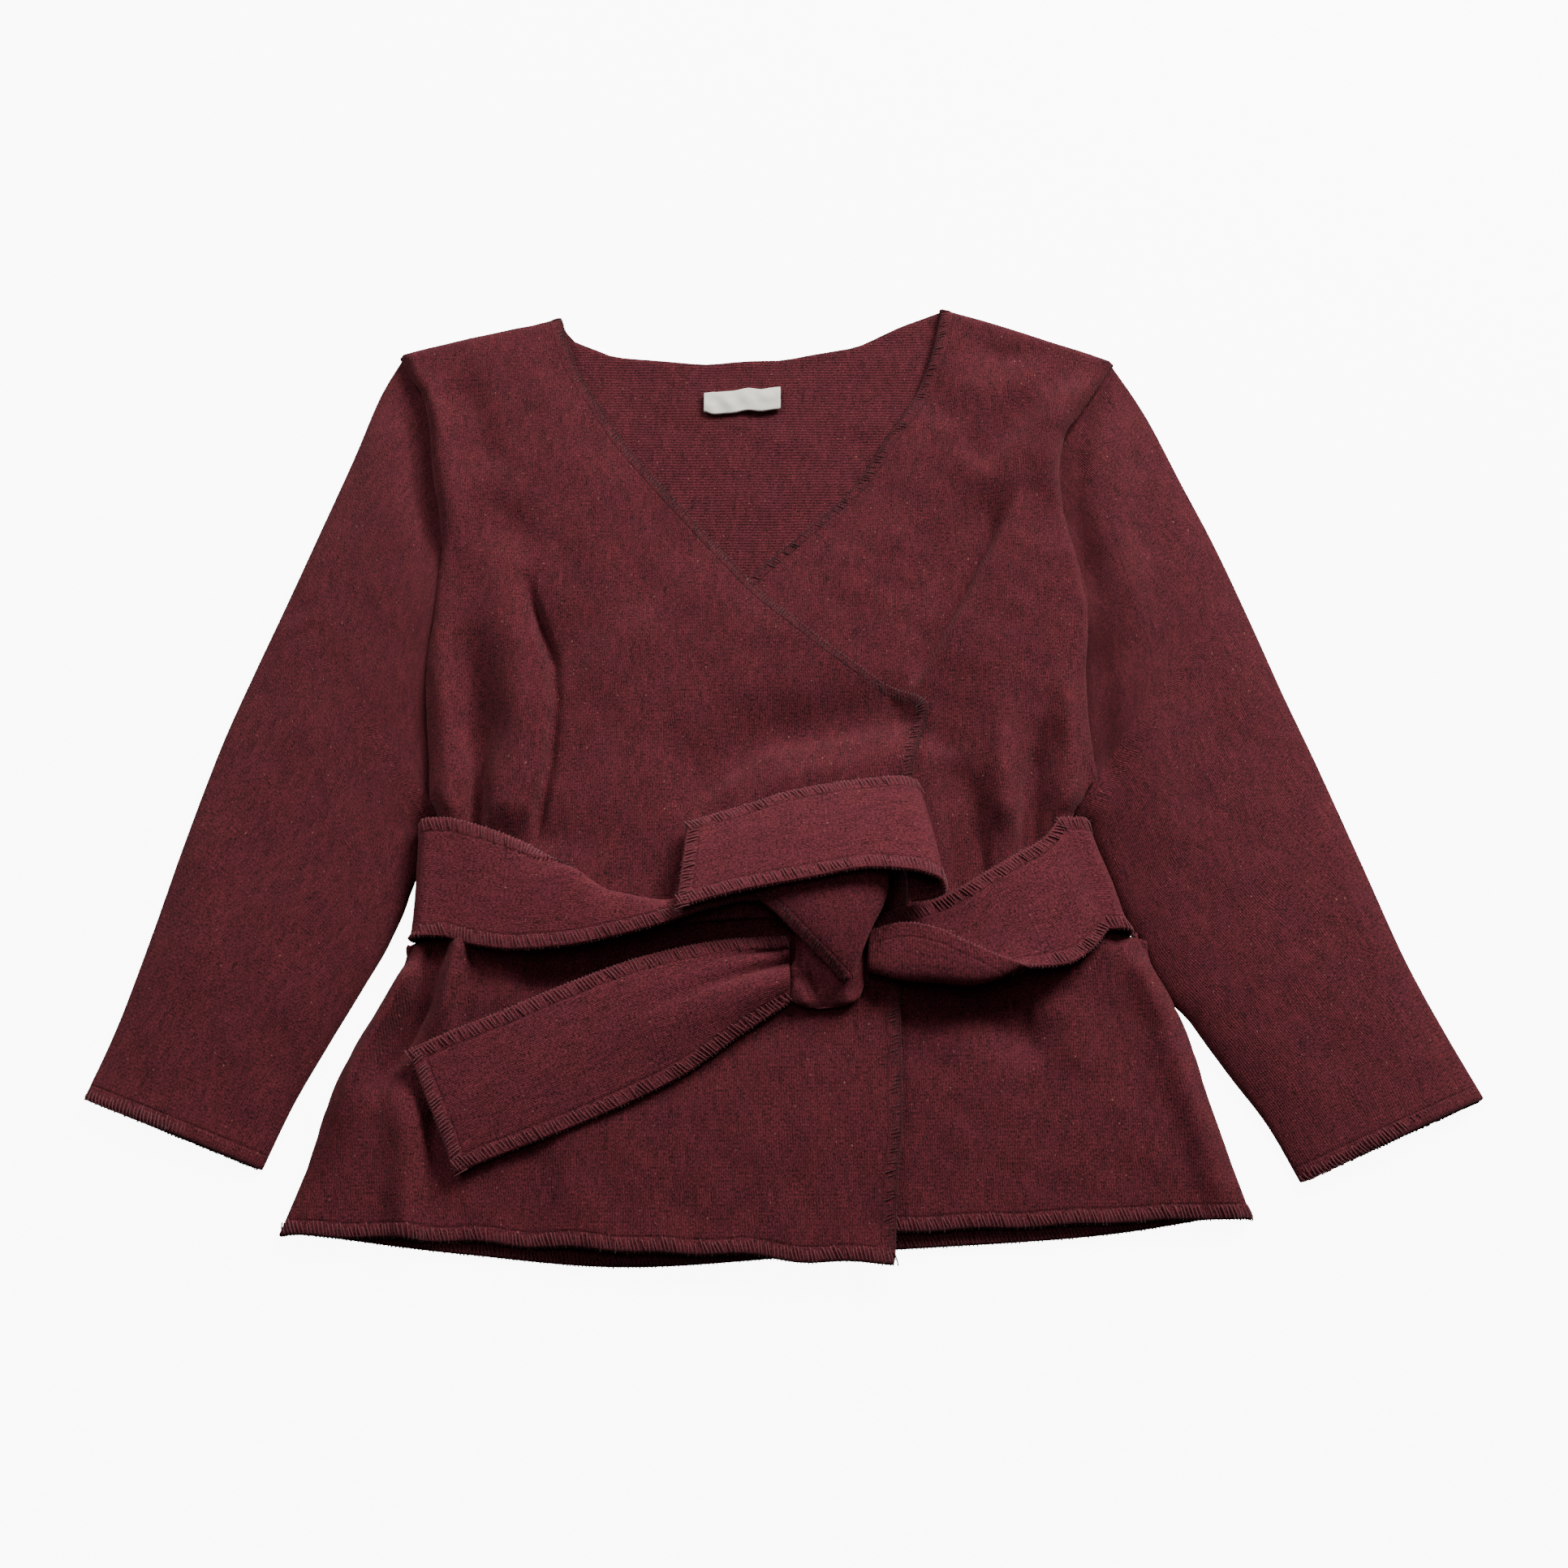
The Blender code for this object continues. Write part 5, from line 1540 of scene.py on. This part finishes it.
@dataclass
class Belt:
    """The tie belt: round both sides, across the front and out of the knot as two tails."""

    tailor: Tailor
    across: int = 34
    steps: int = 8
    curve_points: int = 49
    turn_rows: int = 15
    seam_air: float = 0.8
    knot_around: int = 64
    knot_rows: int = 60
    knot_power: float = 0.8
    knot_hollow: float = 0.72

    def grid(self, stations: tuple, along: int, across: int) -> Grid:
        """A stretch of belt as points on its middle surface.

        Args:
            stations: its table.
            along: rows.
            across: points in a row, closer together where it bends.

        Returns:
            The grid of points.
        """
        read = read_table(stations, along)
        hem, first, second, neck = (read[:, None, c : c + 3] for c in (0, 3, 6, 9))
        middle = (first + second) / 2
        t = np.linspace(0, 1, self.curve_points)[None, :, None]
        halves = [
            (1 - t) ** 2 * start + 2 * t * (1 - t) * pull + t * t * end
            for start, pull, end in ((hem, first, middle), (middle, second, neck))
        ]
        rows = []
        for curve in np.concatenate([halves[0], halves[1][:, 1:]], axis=1):
            steps = np.diff(curve, axis=0)
            heading = unit(steps)
            turns = np.arccos(np.clip((heading[1:] * heading[:-1]).sum(axis=1), -1, 1))
            pace = np.linalg.norm(steps, axis=1) + BEND_WEIGHT * np.append(0, turns)
            reach = np.append(0, np.cumsum(pace))
            places = crowded(across) * reach[-1]
            rows.append([np.interp(places, reach, curve[:, axis]) for axis in range(3)])
        return np.array(rows).transpose(0, 2, 1)

    def side_turn(self, top: Grid, seam: list, side: int, reach: float) -> Grid:
        """Rows of belt that turn round a side of the body, from its underside to its top."""
        lowest = np.clip(top[:, 1], BELT_LOW, BELT_HIGH)
        bottom = np.stack([top[:, 0], lowest, np.full(len(top), BELT_FLOOR)], axis=1)
        rows = [bottom]
        for turn in np.linspace(0, 1, self.turn_rows):
            angle = math.radians(-90 + 180 * turn)
            row = bottom + (top - bottom) * turn
            row[:, 0] = seam_x(seam, row[:, 1]) + side * (self.seam_air + reach * math.cos(angle))
            row[:, 2] = (bottom + top)[:, 2] / 2 + (top - bottom)[:, 2] / 2 * math.sin(angle)
            rows.append(row)
        return np.stack(rows)

    @staticmethod
    def pleated(grid: Grid, pleats: tuple) -> Grid:
        """A stretch with lengthwise pleats that fade out along it."""
        around = travelled(grid, 1)
        across = around / around[:, -1:]
        along = np.linspace(0, 1, len(grid))[:, None]
        made = grid.copy()
        for place, depth, width, reach in pleats:
            fading = 1 - smooth_step(along, 0, reach)
            made[..., 2] += depth * fading * np.exp(-(((across - place) / width) ** 2))
        return made

    def ribbon(self, name: str, grid: Grid, flip: bool, cut: Cut, rests_on: tuple[str, ...],
               sewn: tuple[Side, ...] = (Side.LEFT, Side.RIGHT), held: str = "folded",
               stitch: Stitch = OVERLOCK) -> bpy.types.Object:
        """A stretch of belt from its middle surface.

        Args:
            name: the node.
            grid: its middle surface, rows along the belt.
            flip: whether its columns are turned round so that it faces up.
            cut: its flat size, not used.
            rests_on: what it lies on, not used.
            sewn: the sides whose edges are overlocked.
            held: how it is held, not used.
            stitch: the stitch of its edges.

        Returns:
            The piece.
        """
        if flip:
            grid = grid[:, ::-1]
        half = normals_of(grid) * CLOTH / 2
        along, across = travelled(grid, 0), travelled(grid, 1)
        mean = np.broadcast_to(along.mean(axis=1)[:, None], along.shape)
        middle = across - across.mean(axis=1)[:, None]
        wall = Wall(grid + half, grid - half, np.stack([middle, mean], axis=-1), sewn)
        return self.tailor.cloth(
            name, wall, (BELT_KNIT, BELT_INSIDE), "belt_knit", cut, rests_on, held,
            stitches=((stitch, sewn),),
        )

    def rows(self, stations: tuple) -> int:
        """How many rows a stretch is read at."""
        return (len(stations) - 1) * self.steps + 1

    def build(self) -> None:
        """Makes the belt's stretches."""
        self.behind()
        for name, stations, seam, side, reach, cut in (
            ("belt_left", BELT_LEFT, SEAM_LINE_LEFT, -1, BELT_REACH_LEFT, Cut(0.039, 0.118)),
            ("belt_right", BELT_RIGHT, SEAM_LINE_RIGHT, 1, BELT_REACH_RIGHT, Cut(0.039, 0.116)),
        ):
            top = self.grid(stations, self.rows(stations), self.across)
            turn = self.side_turn(top[0], seam, side, reach)
            grid = np.concatenate([turn, top])
            self.ribbon(name, grid, side < 0, cut, ("front_over_cloth", "front_under_cloth"))
        long = self.grid(TAIL_LONG, self.rows(TAIL_LONG), 2 * self.across)
        long = self.pleated(long, TAIL_PLEATS)
        self.ribbon("belt_tail_long", long, False, Cut(0.039, 0.130), ("front_over_cloth",),
                    (Side.LEFT, Side.RIGHT, Side.TOP), "laid")
        short = self.grid(TAIL_SHORT, self.rows(TAIL_SHORT), self.across)
        self.ribbon("belt_tail_short", short, True, Cut(0.037, 0.105), ("belt_left_cloth",),
                    (Side.LEFT, Side.RIGHT, Side.HEM))
        flap = self.grid(KNOT_FLAP, self.rows(KNOT_FLAP), self.across)
        self.ribbon("belt_knot_flap", flap, True, Cut(0.038, 0.037), ("belt_knot_body",),
                    (Side.RIGHT,), stitch=FINE_OVERLOCK)
        self.knot()

    def behind(self) -> bpy.types.Object:
        """The stretch of belt under the back panel, flat on the floor."""
        share = np.linspace(0, 1, 80)[:, None, None]
        ends = []
        for station, inward in ((BELT_LEFT[0], 0.2), (BELT_RIGHT[0], -0.2)):
            row = np.array(station, float).reshape(4, 3)
            row[:, 0] += inward
            row[:, 1] = np.clip(row[:, 1], BELT_LOW, BELT_HIGH)
            row[:, 2] = BELT_FLOOR
            places = np.linspace(0, 3, self.across)
            columns = [np.interp(places, range(4), row[:, k]) for k in range(3)]
            ends.append(np.stack(columns, axis=1))
        grid = ends[0] * (1 - share) + ends[1] * share
        return self.ribbon("belt_back", grid, False, Cut(0.04, 0.21), (), held="laid")

    def knot(self) -> bpy.types.Object:
        """The knot's wrapped body."""
        angle = np.linspace(0, 2 * math.pi, self.knot_around, endpoint=False)
        wide, tall = (
            np.sign(wave) * np.abs(wave) ** self.knot_power
            for wave in (np.cos(angle), np.sin(angle))
        )
        rings = []
        for y, left, right, low, high in read_table(KNOT, self.knot_rows):
            x = (left + right) / 2 + (right - left) / 2 * wide
            z = (low + high) / 2 + (high - low) / 2 * tall
            rings.append(np.stack([x, np.full(self.knot_around, y), z], axis=1))
        outer = np.stack(rings)
        folds = sum(Lie.fold(outer[..., 0], outer[..., 1], *fold) for fold in KNOT_FOLDS)
        outer[..., 2] += folds * np.clip(1.6 * np.sin(angle), 0, 1)
        centre = outer.mean(axis=1, keepdims=True)
        inner = centre + (outer - centre) * self.knot_hollow
        wall = Wall(outer, inner, Sleeve.unrolled(outer), (), round=True)
        piece = link("belt_knot_body", wall.mesh("belt_knot_body"), BELT_KNIT, BELT_INSIDE)
        self.tailor.declare(piece, "belt_knit", ("belt_knot",))
        return piece


@dataclass
class NeckLabel:
    """The bare woven label inside the back neck."""

    tailor: Tailor
    left: tuple[float, float] = (-28.5, 135.8)
    right: tuple[float, float] = (-1.5, 138.0)
    height: float = 8.5
    thick: float = 0.9
    columns: int = 50
    rows: int = 18
    narrowing: float = 0.16
    cockle: float = 0.35

    def build(self) -> bpy.types.Object:
        """Makes the label, a little cockled and rounded at its left end.

        Returns:
            The piece.
        """
        across, up = np.meshgrid(np.linspace(0, 1, self.columns), np.linspace(0, 1, self.rows))
        x = self.left[0] + (self.right[0] - self.left[0]) * across
        top = self.left[1] + (self.right[1] - self.left[1]) * across
        narrow = 1 - self.narrowing * (1 - smooth_step(across, 0, 0.12))
        y = top - self.height * (0.5 + (0.5 - up) * narrow)
        y = y + 0.4 * ripple(x, 0 * y, 11, 31)
        z = CLOTH + GAP + 0.5 + self.cockle * (1 + ripple(x, y, 9, 33)) * np.sin(math.pi * up)
        outer = np.stack([x, y, z + self.thick], axis=-1)
        inner = np.stack([x, y, z], axis=-1)
        wall = Wall(outer, inner, np.stack([x, y], axis=-1), bulge=0.3)
        piece = link("neck_label_tape", wall.mesh("neck_label"), LABEL_TAPE, LABEL_TAPE)
        self.tailor.declare(piece, "label", ("neck_label",))
        return piece


# The soft lights, in metres and watts.
#    name  place  width height  watts
LIGHTS = (
    ("window", (1.05, 1.4, 1.1), 1.1, 0.65, 76.0),
    ("far_window", (-1.2, 1.2, 1.2), 1.0, 0.8, 22.0),
    ("overhead", (-0.1, 0.1, 1.9), 0.9, 0.9, 4.0),
)


@dataclass
class Studio:
    """The floor, the soft lights and the camera at the photograph's angle."""

    elevation: float = 70.0
    distance: float = 735.0
    aim: tuple[float, float, float] = (0.0, -12.7, 0.0)
    lens: float = 50.0
    sensor: float = 36.0
    floor_size: float = 6.0
    floor_drop: float = 0.2
    sky: float = 0.035

    def floor(self) -> bpy.types.Object:
        """The pale floor."""
        half = self.floor_size / 2
        mesh = bpy.data.meshes.new("floor")
        corners = [(-half, -half), (half, -half), (half, half), (-half, half)]
        mesh.from_pydata([(x, y, -self.floor_drop * MM) for x, y in corners], [], [(0, 1, 2, 3)])
        piece = link("floor", mesh, Paper())
        piece.visible_diffuse = False
        piece.visible_glossy = False
        return piece

    def light(self, name: str, place: Colour, width: float, height: float, watts: float
              ) -> bpy.types.Object:
        """A large soft light that shines at the garment.

        Args:
            name: its name.
            place: where it stands, in metres.
            width: its width, in metres.
            height: its height, in metres.
            watts: its power.

        Returns:
            The light.
        """
        lamp = bpy.data.lights.new(name, "AREA")
        lamp.shape = "RECTANGLE"
        lamp.size, lamp.size_y = width, height
        lamp.energy = watts
        made = add(name, lamp)
        made.location = place
        made.rotation_euler = (-Vector(place)).to_track_quat("-Z", "Y").to_euler()
        return made

    def camera(self) -> bpy.types.Object:
        """The camera, set as the scene's own."""
        angle = math.radians(self.elevation)
        aim = Vector(self.aim)
        place = aim + Vector((0, -math.cos(angle), math.sin(angle))) * self.distance
        lens = bpy.data.cameras.new("camera")
        lens.lens = self.lens
        lens.sensor_width = self.sensor
        lens.clip_start, lens.clip_end = 0.01, 20.0
        made = add("camera", lens)
        made.location = place * MM
        made.rotation_euler = (aim - place).to_track_quat("-Z", "Y").to_euler()
        bpy.context.scene.camera = made
        return made

    def build(self) -> None:
        """Sets the stage."""
        self.floor()
        for row in LIGHTS:
            self.light(*row)
        world = bpy.data.worlds.new("studio")
        world.use_nodes = True
        sky = world.node_tree.nodes["Background"]
        sky.inputs["Color"].default_value = (1.0, 1.0, 1.0, 1.0)
        sky.inputs["Strength"].default_value = self.sky
        bpy.context.scene.world = world
        self.camera()


def main() -> None:
    """Builds the garment's sub-assemblies and the studio, in order."""
    logging.basicConfig(level=logging.INFO, format="%(message)s")
    tailor = Tailor()
    Bodice(tailor).build()
    Sleeve(tailor, "sleeve_left", SLEEVE_LEFT_SECTIONS, SEAM_LINE_LEFT, -1, BELT_REACH_LEFT,
           -50.0, Cut(0.13, 0.3, 0.0345)).build()
    Sleeve(tailor, "sleeve_right", SLEEVE_RIGHT_SECTIONS, SEAM_LINE_RIGHT, 1, BELT_REACH_RIGHT,
           -92.0, Cut(0.13, 0.3, 0.0345)).build()
    NeckLabel(tailor).build()
    Belt(tailor).build()
    Studio().build()


if __name__ == "__main__":
    main()
